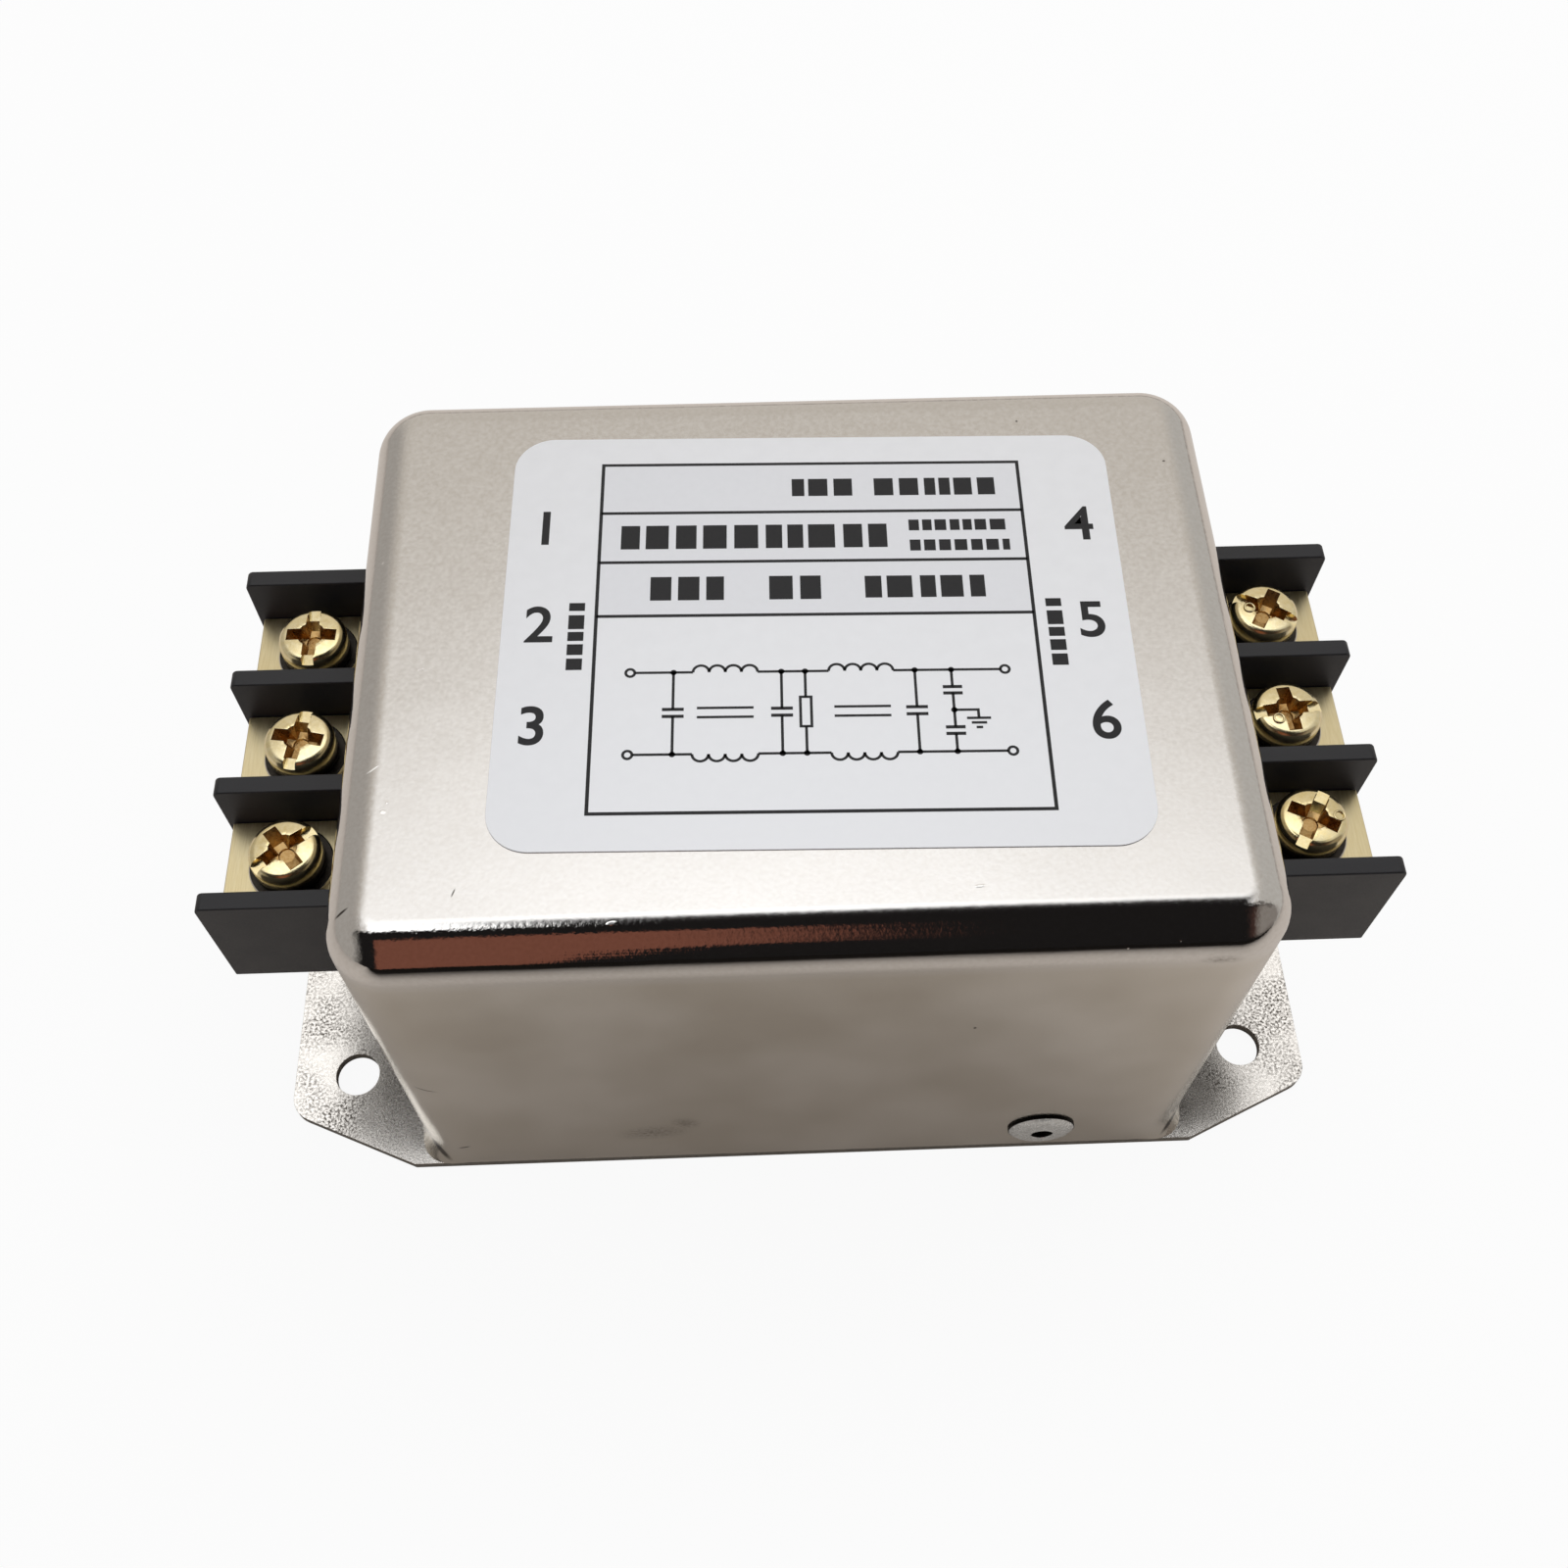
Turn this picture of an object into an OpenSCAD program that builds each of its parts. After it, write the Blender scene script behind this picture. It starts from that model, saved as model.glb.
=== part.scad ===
// Chassis-mounted EMI line filter: a drawn steel can on a flat base plate, with a three-way
// barrier terminal block in each end and a two-stage filter circuit on a board inside.
// X runs from the line end (-X) to the load end (+X), Z is up, and the underside of the
// base plate lies at Z = 0.

/* [Can] */
// Length of the can, between its two terminal ends
can_w = 85; // [84.4:0.1:100]
// Depth of the can
can_d = 64.8; // [63.4:0.1:80]
// Height of the can above the base plate
can_h = 53; // [50:0.1:70]
// Thickness of the can's sheet
can_t = 0.8; // [0.6:0.1:1]
// Outer radius of the four upright corners
can_corner_r = 5.6; // [5:0.1:8]
// Outer radius of the drawn top edge
can_top_r = 4.4; // [2:0.1:4.8]

/* [Base plate] */
// Overall length of the base plate, across both ears
plate_l = 115.2; // [114:0.1:130]
// Thickness of the base plate
plate_t = 1.2; // [1:0.1:1.6]
// Length of the slanted edge at each corner of an ear, along X
ear_clip_x = 14.3; // [8:0.1:14.4]
// Depth of that slanted edge, along Y
ear_clip_y = 6.4; // [4:0.1:7.5]
// Rounding of the ears' outer corners
ear_corner_r = 3; // [1:0.5:5]
// Diameter of the mounting holes
mount_hole_d = 4.9; // [4.2:0.1:5.6]
// Distance of the mounting holes from the plate's ends
mount_edge_x = 7; // [4:0.1:8]
// Distance between mounting holes along Y
mount_pitch_y = 43.4; // [36:0.1:46]

/* [Rivets] */
// Distance of each rivet from the middle of the can, along X
rivet_x = 25.7; // [20:0.1:28]
// Height of the rivets above the base plate's top face
rivet_up = 5.4; // [5:0.1:5.8]
// Diameter of the rivet's shank
rivet_d = 4; // [3.2:0.1:4.2]
// Diameter of the rivet's domed head
rivet_head_d = 7.2; // [6.4:0.1:8]
// How far the head stands out of the can
rivet_head_h = 1; // [0.8:0.1:1.4]
// Hole that the pulled mandrel leaves
rivet_mandrel_d = 2; // [1.6:0.1:2.4]
// Width of the lugs that the rivets hold
lug_w = 13; // [10:0.5:16]
// Height of the lugs above the base plate's underside
lug_h = 10; // [9.6:0.1:10.6]

/* [Terminal blocks] */
// Distance between neighbouring terminals
pitch = 12.7; // [11.8:0.1:13]
// Thickness of a barrier
barrier_t = 1.9; // [1.5:0.1:2.1]
// How far the barriers stand out of the can
barrier_reach = 15.3; // [14.6:0.1:18]
// Height of a barrier
block_h = 14.9; // [14.6:0.1:17]
// Depth of the barriers' tops below the can's top
block_drop = 13.3; // [11:0.1:15]
// Depth of a bay, from the barriers' tops to the terminal plate
bay_depth = 5.8; // [4.5:0.1:6.2]
// Rounding of the barriers' outer top corners
barrier_r = 0.7; // [0.4:0.1:2]
// Thickness of the block's flange inside the can
flange_t = 2; // [1.6:0.1:2.4]
// How far that flange laps over the window's edge
flange_lap = 2.5; // [1.5:0.1:3]

/* [Terminals] */
// Thickness of the brass terminal plates
strip_t = 1; // [0.8:0.1:1.2]
// Width of a terminal plate's leg
leg_w = 5; // [3:0.1:6]
// Distance of the terminal screws from the can's end wall
screw_out = 8.1; // [7.6:0.1:8.8]
// Diameter of the screw thread
thread_d = 4; // [3.5:0.1:4.2]
// Length of the screw below its head
screw_l = 8; // [6:0.1:8.6]
// Diameter of the screw head
head_d = 7.1; // [6.4:0.1:7.8]
// Height of the screw head
head_h = 2.6; // [2.2:0.1:3]
// Outer diameter of the spring washer
spring_d = 7; // [6.2:0.1:7.6]
// Thickness of the spring washer
spring_t = 1; // [0.8:0.1:1.2]
// Outer diameter of the flat washer
washer_d = 8.4; // [7.4:0.1:9]
// Thickness of the flat washer
washer_t = 0.8; // [0.5:0.1:1]

/* [Label] */
// Length of the label
label_w = 59.5; // [50:0.5:70]
// Depth of the label
label_d = 47.4; // [40:0.1:52]
// Thickness of the label
label_t = 0.12; // [0.08:0.01:0.2]
// Rounding of the label's corners
label_r = 4; // [1:0.1:6]
// Turn of the label from square, in degrees
label_turn = -1.2; // [-2:0.1:2]

/* [Circuit board] */
// Thickness of the board
board_t = 1.6; // [1:0.1:2]
// Height of the board's underside above the base plate's top face
board_up = 9.4; // [9.2:0.1:12]
// Gap between the board and the can's long walls
board_gap = 3.1; // [2.6:0.1:3.4]
// Diameter of the posts that carry the board
post_d = 5; // [4:0.1:5.6]
// Thickness of the insulating sheet on the base plate
sheet_t = 0.4; // [0.2:0.1:0.8]

/* [Chokes] */
// Outer diameter of a choke's ring core
core_od = 28; // [25:0.1:31]
// Inner diameter of the ring core
core_id = 17; // [16:0.1:18.5]
// Height of the ring core
core_h = 14; // [10:0.1:16]
// Rounding of the core's edges
core_r = 1.2; // [1:0.1:1.5]
// Diameter of the winding wire
wire_d = 1.7; // [1.2:0.1:1.8]
// Whole turns in each winding
coil_turns = 7; // [4:1:8]
// Thickness of the insulating divider in the core
divider_t = 1; // [0.8:0.1:1.4]

/* [Capacitors and resistor] */
// Length of an X capacitor
x_cap_w = 23; // [18:0.1:23.2]
// Depth of an X capacitor
x_cap_d = 11; // [9:0.1:12]
// Height of an X capacitor
x_cap_h = 20; // [15:0.1:22]
// Diameter of a Y capacitor's disc
y_cap_d = 9; // [7:0.1:9.6]
// Thickness of a Y capacitor's disc
y_cap_t = 4; // [3:0.1:4.2]
// Length of the bleed resistor's body
resistor_l = 9; // [6:0.1:10]
// Diameter of the bleed resistor's body
resistor_d = 3.6; // [2.4:0.1:4]
// Diameter of the parts' leads
lead_d = 0.8; // [0.5:0.1:1]

/* [Fits] */
// Clearance where one piece sits in or against another
fit = 0.1; // [0.05:0.01:0.2]
// Clearance round what passes through the board
hole_play = 0.4; // [0.2:0.1:0.6]

/* [Hidden] */
$fn = 64;
bays = 3;
sides = ["line", "load"];

can_top = plate_t + can_h;
wall_x = can_w / 2;
wall_y = can_d / 2;
inner_x = wall_x - can_t;
inner_y = wall_y - can_t;

// the lugs stand just inside the long walls
lug_y = inner_y - fit;
rivet_z = plate_t + rivet_up;
rivet_bulb_d = rivet_d * 1.5;
rivet_bulb_l = 3;
rivet_hole_d = rivet_d + fit;
lug_play = 0.5;
tag_t = 0.8;
tag_w = 7;
tag_lap = 2;
tag_half = 3.4;

// the terminal block, with its barriers between the bays
block_top = can_top - block_drop;
block_bottom = block_top - block_h;
block_y = bays * pitch / 2 + barrier_t / 2;
bay_w = pitch - barrier_t;
window_gap = 0.15;
strip_top = block_top - bay_depth;
strip_bottom = strip_top - strip_t;
flange_x = inner_x - flange_t;
bay_setback = 0.6;
reach_x = wall_x + barrier_reach;
plate_end = reach_x - bay_setback;
screw_x = wall_x + screw_out;
boss_wall = 1.1;
boss_d = thread_d + 2 * boss_wall;
boss_h = 2.5;
well_play = 0.4;
well_d = boss_d + 2 * well_play;
washer_z = strip_top;
spring_z = washer_z + washer_t;
head_z = spring_z + spring_t;
thread_end = head_z - screw_l;
well_floor = thread_end - 2 * well_play;
head_rim_h = head_h * 0.55;
slot_w = 1.1;
slot_depth = 0.8;
cross_l = head_d * 0.56;
cross_depth = 1.5;
// turn of each screw's slot, from the back of the part to the front
line_turns = [88, 80, 38];
load_turns = [-30, 5, 60];

// the board hangs on four posts, clear of the rivets' ends
board_z = plate_t + board_up;
board_top = board_z + board_t;
board_play = 1.2;
board_x = inner_x - board_play;
board_y = wall_y - can_t - board_gap;
board_r = can_corner_r - can_t;
pin_out = 1.5;
pin_end = board_z - pin_out;
leg_back = 1.4;
leg_x = flange_x - leg_back;
leg_slot_play = 0.2;
post_foot_d = 7;
post_foot_h = 1.6;
post_tip_d = 3;
post_tip_h = 1.4;
post_play = 0.4;
post_x = inner_x - post_foot_d / 2 - post_play;
post_in = 3;
post_y = board_y - post_in;
sheet_play = 1.7;
sheet_x = inner_x - sheet_play;
sheet_lug_play = 1.3;
sheet_y = lug_y - plate_t - sheet_lug_play;

// two chokes side by side behind the X capacitors
coil_gap = 0.2;
coil_r = wire_d / 2;
coil_in = core_id / 2 - coil_gap - coil_r;
coil_out = core_od / 2 + coil_gap + coil_r;
choke_r = coil_out + coil_r;
choke_gap = 1.2;
choke_x = choke_r + choke_gap / 2;
choke_edge = 1;
choke_y = board_y - choke_r - choke_edge;
coil_low = board_top + fit + coil_r;
core_z = coil_low + coil_r + coil_gap;
coil_high = core_z + core_h + coil_gap + coil_r;
coil_bend = 1.4;
coil_span = 150;
coil_step = coil_span / (coil_turns + 0.5);
coil_start = 90 - coil_span / 2;
wire_sides = 8;

x_cap_gap = 0.5;
x_cap_pitch = x_cap_w + x_cap_gap;
cap_edge = 2.5;
x_cap_y = -board_y + cap_edge + x_cap_d / 2;
x_cap_pin_in = 2.5;
x_cap_pins = x_cap_w - 2 * x_cap_pin_in;
y_cap_back = board_y - cap_edge;
y_cap_nest = 1.3;
y_cap_front = choke_y - choke_r + y_cap_nest;
y_cap_pins = 5;
y_cap_up = 1;
resistor_x = -x_cap_pitch;
resistor_y = (choke_y - choke_r + x_cap_y + x_cap_d / 2) / 2;
resistor_up = 0.3;
resistor_z = board_top + resistor_d / 2 + resistor_up;
resistor_bend = 2.5;
resistor_pins = resistor_l + 2 * resistor_bend;

label_x = 1.7;
label_y = 1.1;

// ---- shared shapes ----

function unit(v) = v / norm(v);
function half_angle(a, b, c) = acos(unit(a - b) * unit(c - b)) / 2;
function round_centre(a, b, c, r) =
    b + unit(unit(a - b) + unit(c - b)) * r / sin(half_angle(a, b, c));

// A convex outline whose corner i is rounded by radii[i], as true arcs
module rounded_outline(points, radii) {
    n = len(points);
    polygon([
        for (i = [0:n - 1])
            let (a = points[(i + n - 1) % n], b = points[i], c = points[(i + 1) % n],
                 cut = radii[i] / tan(half_angle(a, b, c)))
                each (cut > 0 ? [b + unit(a - b) * cut, b + unit(c - b) * cut] : [b])
    ]);
    for (i = [0:n - 1])
        if (radii[i] > 0)
            translate(round_centre(points[(i + n - 1) % n], points[i], points[(i + 1) % n], radii[i]))
                circle(radii[i]);
}

module rounded_rect(w, d, r) {
    rounded_outline([[-w, -d] / 2, [w, -d] / 2, [w, d] / 2, [-w, d] / 2], [r, r, r, r]);
}

// Section of a drawn edge: flat for as far as the corner radius exceeds the edge radius
module edge_section(corner_r, top_r) {
    square([corner_r - top_r, top_r]);
    intersection() {
        translate([corner_r - top_r, 0]) circle(top_r);
        translate([corner_r - top_r, 0]) square(top_r);
    }
}

// A block with round upright corners and a rounded top edge, as a deep-drawn can has
module drawn_form(w, d, h, corner_r, top_r) {
    sx = w / 2 - corner_r;
    sy = d / 2 - corner_r;
    linear_extrude(h - top_r) rounded_rect(w, d, corner_r);
    translate([0, 0, h - top_r]) {
        translate([-sx, -sy, 0]) cube([2 * sx, 2 * sy, top_r]);
        for (turn = [0, 180]) {
            rotate([0, 0, turn]) translate([sx, sy, 0])
                rotate([90, 0, 0]) linear_extrude(2 * sy) edge_section(corner_r, top_r);
            rotate([0, 0, turn]) translate([-sx, sy, 0])
                rotate([90, 0, 90]) linear_extrude(2 * sx) edge_section(corner_r, top_r);
        }
        for (i = [0:3])
            translate([(i == 0 || i == 3) ? sx : -sx, i < 2 ? sy : -sy, 0])
                rotate([0, 0, 90 * i]) rotate_extrude(angle = 90) edge_section(corner_r, top_r);
    }
}

// Draws for the load end, or mirrored for the line end
module at_end(end) {
    if (end == "load") children();
    else mirror([1, 0, 0]) children();
}

function bay_y(i) = ((bays + 1) / 2 - i) * pitch;

// A round bar swept along points [radius, height, angle] about the Z axis
function on_ring(p) = [p[0] * cos(p[2]), p[0] * sin(p[2]), p[1]];
module swept_wire(path, r) {
    n = len(path);
    spots = [for (p = path) on_ring(p)];
    rings = [
        for (i = [0:n - 1])
            let (before = i > 0 ? unit(spots[i] - spots[i - 1]) : [0, 0, 0],
                 after = i < n - 1 ? unit(spots[i + 1] - spots[i]) : [0, 0, 0],
                 along = unit(before + after),
                 round_axis = [-sin(path[i][2]), cos(path[i][2]), 0],
                 u = unit(round_axis - along * (round_axis * along)),
                 v = cross(along, u))
                for (k = [0:wire_sides - 1])
                    spots[i] + r * (cos(360 * k / wire_sides) * u + sin(360 * k / wire_sides) * v)
    ];
    skin = [
        for (i = [0:n - 2], k = [0:wire_sides - 1])
            let (a = i * wire_sides + k, b = i * wire_sides + (k + 1) % wire_sides)
                each [[a, a + wire_sides, b], [b, a + wire_sides, b + wire_sides]]
    ];
    last = (n - 1) * wire_sides;
    polyhedron(rings, concat(skin,
        [[for (k = [0:wire_sides - 1]) k]],
        [[for (k = [wire_sides - 1:-1:0]) last + k]]));
}

// ---- housing ----

module housing_can() {
    color("#c4beb4")
        difference() {
            translate([0, 0, plate_t]) drawn_form(can_w, can_d, can_h, can_corner_r, can_top_r);
            drawn_form(2 * inner_x, 2 * inner_y, can_top - can_t,
                can_corner_r - can_t, can_top_r - can_t);
            for (s = [-1, 1])
                translate([s * wall_x, 0, (block_top + block_bottom) / 2])
                    cube([4 * can_t, 2 * (block_y + window_gap), block_h + 2 * window_gap],
                        center = true);
            for (s = [-1, 1])
                translate([-s * rivet_x, s * wall_y, rivet_z])
                    rotate([90, 0, 0]) cylinder(d = rivet_hole_d, h = 4 * can_t, center = true);
        }
}

module base_plate() {
    color("#c9c5bb")
        difference() {
            union() {
                linear_extrude(plate_t) ear_outline();
                lugs();
            }
            for (x = [-1, 1], y = [-1, 1])
                translate([x * (plate_l / 2 - mount_edge_x), y * mount_pitch_y / 2, -1])
                    cylinder(d = mount_hole_d, h = plate_t + 2);
        }
}

// The plate's outline, with a window where each lug was cut free and folded up
module ear_outline() {
    x = plate_l / 2;
    clip_x = x - ear_clip_x;
    clip_y = wall_y - ear_clip_y;
    difference() {
        rounded_outline(
            [[-clip_x, -wall_y], [clip_x, -wall_y], [x, -clip_y], [x, clip_y],
             [clip_x, wall_y], [-clip_x, wall_y], [-x, clip_y], [-x, -clip_y]],
            [0, 0, ear_corner_r, ear_corner_r, 0, 0, ear_corner_r, ear_corner_r]);
        for (turn = [0, 180])
            rotate(turn) translate([rivet_x - lug_w / 2 - lug_play, -lug_y])
                square([lug_w + 2 * lug_play, lug_h]);
    }
}

// Two lugs folded up out of the plate, one behind the front wall and one behind the back
module lugs() {
    for (turn = [0, 180])
        rotate([0, 0, turn]) translate([rivet_x, -lug_y, 0])
            difference() {
                union() {
                    translate([-lug_w / 2, 0, plate_t]) cube([lug_w, plate_t, lug_h - plate_t]);
                    intersection() {
                        translate([0, 0, plate_t]) rotate([0, 90, 0])
                            cylinder(r = plate_t, h = lug_w, center = true);
                        translate([-lug_w / 2, 0, 0]) cube([lug_w, plate_t, plate_t]);
                    }
                }
                translate([0, 0, rivet_z]) rotate([90, 0, 0])
                    cylinder(d = rivet_hole_d, h = 4 * plate_t, center = true);
            }
}

// A blind rivet: domed head outside, and the bulb that the mandrel pulled up inside
module blind_rivet(grip) {
    dome_r = (pow(rivet_head_d / 2, 2) + pow(rivet_head_h, 2)) / (2 * rivet_head_h);
    rotate([90, 0, 0])
        difference() {
            union() {
                rotate_extrude() intersection() {
                    translate([0, rivet_head_h - dome_r]) circle(dome_r);
                    square([rivet_head_d / 2, rivet_head_h]);
                }
                translate([0, 0, -grip - rivet_bulb_l / 2])
                    cylinder(d = rivet_d, h = grip + rivet_bulb_l / 2);
                translate([0, 0, -grip - rivet_bulb_l])
                    cylinder(d = rivet_bulb_d, h = rivet_bulb_l);
            }
            translate([0, 0, -grip]) cylinder(d = rivet_mandrel_d, h = grip + rivet_head_h + 1);
        }
}

module rivet_front() {
    color("#b9b7b2") translate([rivet_x, -wall_y, rivet_z])
        blind_rivet(can_t + fit + plate_t + tag_t);
}

module rivet_back() {
    color("#b9b7b2") rotate([0, 0, 180]) translate([rivet_x, -wall_y, rivet_z])
        blind_rivet(can_t + fit + plate_t);
}

module rating_label() {
    color("#d6d6da") translate([label_x, label_y, can_top]) rotate([0, 0, label_turn])
        linear_extrude(label_t) rounded_rect(label_w, label_d, label_r);
}

// ---- terminals ----

// One moulding: a floor, a barrier beside each bay, and the flange that stays in the can
module terminal_block(end) {
    color("#2c2c2e") at_end(end)
        difference() {
            union() {
                translate([flange_x, -block_y, block_bottom])
                    cube([plate_end - flange_x, 2 * block_y, strip_bottom - block_bottom]);
                for (i = [0:bays])
                    translate([0, -bays * pitch / 2 + i * pitch + barrier_t / 2, 0])
                        rotate([90, 0, 0]) linear_extrude(barrier_t)
                            rounded_outline([[flange_x, block_bottom], [reach_x, block_bottom],
                                [reach_x, block_top], [flange_x, block_top]], [0, 0, barrier_r, 0]);
                translate([flange_x, -block_y - flange_lap, block_bottom - flange_lap])
                    cube([flange_t, 2 * (block_y + flange_lap), block_h + 2 * flange_lap]);
            }
            for (i = [1:bays])
                translate([0, bay_y(i), 0]) {
                    translate([screw_x, 0, well_floor]) cylinder(d = well_d, h = block_h);
                    translate([flange_x - 1, -leg_w / 2 - fit, strip_bottom - 0.001])
                        cube([flange_t + can_t + 1, leg_w + 2 * fit, strip_t + fit]);
                }
        }
}

// Stamped brass: a tapped plate in the bay, and a leg that folds down to the board
module terminal_plate(end, i) {
    color("#d8c68f") at_end(end) translate([0, bay_y(i), 0])
        difference() {
            union() {
                translate([wall_x + fit, -bay_w / 2 + fit, strip_bottom])
                    cube([plate_end - wall_x - fit, bay_w - 2 * fit, strip_t]);
                translate([leg_x, -leg_w / 2, strip_bottom])
                    cube([wall_x + 1 - leg_x, leg_w, strip_t]);
                intersection() {
                    translate([leg_x, 0, strip_bottom]) rotate([90, 0, 0])
                        cylinder(r = strip_t, h = leg_w, center = true);
                    translate([leg_x - strip_t, -leg_w / 2, strip_bottom])
                        cube([strip_t, leg_w, strip_t]);
                }
                translate([leg_x - strip_t, -leg_w / 2, pin_end])
                    cube([strip_t, leg_w, strip_bottom - pin_end]);
                translate([screw_x, 0, strip_bottom - boss_h]) cylinder(d = boss_d, h = boss_h);
            }
            translate([screw_x, 0, strip_bottom - boss_h - 1])
                cylinder(d = thread_d, h = boss_h + strip_t + 2);
        }
}

// Pan-head screw with a slot and a cross recess
module terminal_screw(end, i) {
    crown = head_h - head_rim_h;
    crown_r = (pow(head_d / 2, 2) + pow(crown, 2)) / (2 * crown);
    turn = end == "line" ? line_turns[i - 1] : load_turns[i - 1];
    x = end == "line" ? -screw_x : screw_x;
    color("#e0c67c") translate([x, bay_y(i), head_z]) rotate([0, 0, turn])
        difference() {
            union() {
                rotate_extrude() {
                    square([head_d / 2, head_rim_h]);
                    translate([0, head_rim_h]) intersection() {
                        translate([0, crown - crown_r]) circle(crown_r);
                        square([head_d / 2, crown]);
                    }
                }
                translate([0, 0, -screw_l]) cylinder(d = thread_d - fit, h = screw_l + 0.5);
            }
            translate([-head_d, -slot_w / 2, head_h - slot_depth])
                cube([2 * head_d, slot_w, head_h]);
            for (a = [0, 90])
                rotate([0, 0, a]) translate([-cross_l / 2, -slot_w / 2, head_h - cross_depth])
                    cube([cross_l, slot_w, head_h]);
        }
}

// A split ring, pressed flat
module spring_washer(end, i) {
    hole_d = thread_d + 2 * fit;
    color("#8b8780") at_end(end) translate([screw_x, bay_y(i), spring_z])
        difference() {
            cylinder(d = spring_d, h = spring_t);
            translate([0, 0, -1]) cylinder(d = hole_d, h = spring_t + 2);
            rotate([0, 0, 35]) translate([0, -0.3, -1]) cube([spring_d, 0.6, spring_t + 2]);
        }
}

module flat_washer(end, i) {
    hole_d = thread_d + 2 * fit;
    color("#a8a39a") at_end(end) translate([screw_x, bay_y(i), washer_z])
        difference() {
            cylinder(d = washer_d, h = washer_t);
            translate([0, 0, -1]) cylinder(d = hole_d, h = washer_t + 2);
        }
}

// ---- board and what stands on it ----

function choke_centre(end) = [end == "load" ? choke_x : -choke_x, choke_y, 0];
function coil_feet() = [
    for (turn = [0, 180]) each [
        [coil_out, coil_start + turn],
        [coil_in, coil_start + coil_span + turn]
    ]
];

module lead_holes(centre, gap) {
    for (s = [-1, 1])
        translate(centre + [s * gap / 2, 0]) circle(d = lead_d + hole_play);
}

module circuit_board() {
    color("#3c6b3a") translate([0, 0, board_z]) linear_extrude(board_t)
        difference() {
            rounded_rect(2 * board_x, 2 * board_y, board_r);
            for (x = [-1, 1], y = [-1, 1])
                translate([x * post_x, y * post_y]) circle(d = post_tip_d + fit);
            for (s = [-1, 1], i = [1:bays])
                translate([s * (leg_x - strip_t / 2), bay_y(i)])
                    square([strip_t, leg_w] + [1, 1] * 2 * leg_slot_play, center = true);
            for (end = sides, foot = coil_feet())
                translate(choke_centre(end)) rotate(foot[1]) translate([foot[0], 0])
                    circle(d = wire_d + hole_play);
            for (i = [-1:1]) lead_holes([i * x_cap_pitch, x_cap_y], x_cap_pins);
            for (y = [y_cap_back, y_cap_front]) lead_holes([0, y], y_cap_pins);
            lead_holes([resistor_x, resistor_y], resistor_pins);
        }
}

// Four moulded posts, stuck to the base plate, whose tips snap through the board
module board_posts() {
    color("#e8e4d8")
        for (x = [-1, 1], y = [-1, 1])
            translate([x * post_x, y * post_y, plate_t]) {
                cylinder(d = post_foot_d, h = post_foot_h);
                cylinder(d = post_d, h = board_up);
                cylinder(d = post_tip_d - fit, h = board_up + board_t + post_tip_h);
                translate([0, 0, board_up + board_t + fit])
                    cylinder(d1 = post_tip_d + 0.6, d2 = post_tip_d - 0.6, h = post_tip_h);
            }
}

module insulating_sheet() {
    color("#ece7c8") translate([0, 0, plate_t]) linear_extrude(sheet_t)
        difference() {
            rounded_rect(2 * sheet_x, 2 * sheet_y, board_r);
            for (x = [-1, 1], y = [-1, 1])
                translate([x * post_x, y * post_y]) circle(d = post_foot_d + 2 * fit);
        }
}

// Brass tag under the front rivet: it carries the board's earth to the case
module earth_tag() {
    back_y = -lug_y + plate_t;
    low = rivet_z - tag_half;
    color("#d8c68f") translate([rivet_x - tag_w / 2, back_y, 0])
        difference() {
            union() {
                translate([0, 0, low]) cube([tag_w, tag_t, board_top + tag_t - low]);
                translate([0, 0, board_top]) cube([tag_w, board_gap - plate_t - fit + tag_lap, tag_t]);
            }
            translate([tag_w / 2, 0, rivet_z]) rotate([90, 0, 0])
                cylinder(d = rivet_hole_d, h = 4 * tag_t, center = true);
        }
}

module choke_core(end) {
    color("#3e4a44") translate(choke_centre(end) + [0, 0, core_z])
        rotate_extrude() translate([(core_od + core_id) / 4, core_h / 2])
            rounded_rect((core_od - core_id) / 2, core_h, core_r);
}

// Copper wire wound round the ring, with both ends going down through the board
module choke_winding(end, half) {
    turn = half == "live" ? 0 : 180;
    out = coil_out - coil_bend;
    in = coil_in + coil_bend;
    high = coil_high - coil_bend;
    low = coil_low + coil_bend;
    loop = [[coil_out, low], [coil_out, high], [out, coil_high], [in, coil_high],
            [coil_in, high], [coil_in, low], [in, coil_low], [out, coil_low]];
    steps = 8 * coil_turns + 4;
    path = concat(
        [[coil_out, pin_end, coil_start]],
        [for (i = [0:steps]) concat(loop[i % 8], [coil_start + coil_step * i / 8])],
        [[coil_in, pin_end, coil_start + coil_step * steps / 8]]);
    color("#b4632f") translate(choke_centre(end)) rotate([0, 0, turn])
        swept_wire(path, coil_r);
}

// Card set across the ring's hole, between the two windings
module choke_divider(end) {
    w = sqrt(pow(core_id, 2) - pow(divider_t, 2)) - 2 * fit;
    color("#e8e0c0") translate(choke_centre(end) + [-w / 2, -divider_t / 2, board_top])
        cube([w, divider_t, core_z + core_h - board_top]);
}

module x_capacitor(i) {
    color("#e3b324") translate([i * x_cap_pitch, x_cap_y, 0]) {
        translate([0, 0, board_top]) linear_extrude(x_cap_h) rounded_rect(x_cap_w, x_cap_d, 0.8);
        for (s = [-1, 1])
            translate([s * x_cap_pins / 2, 0, pin_end])
                cylinder(d = lead_d, h = board_top + 1 - pin_end);
    }
}

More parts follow.
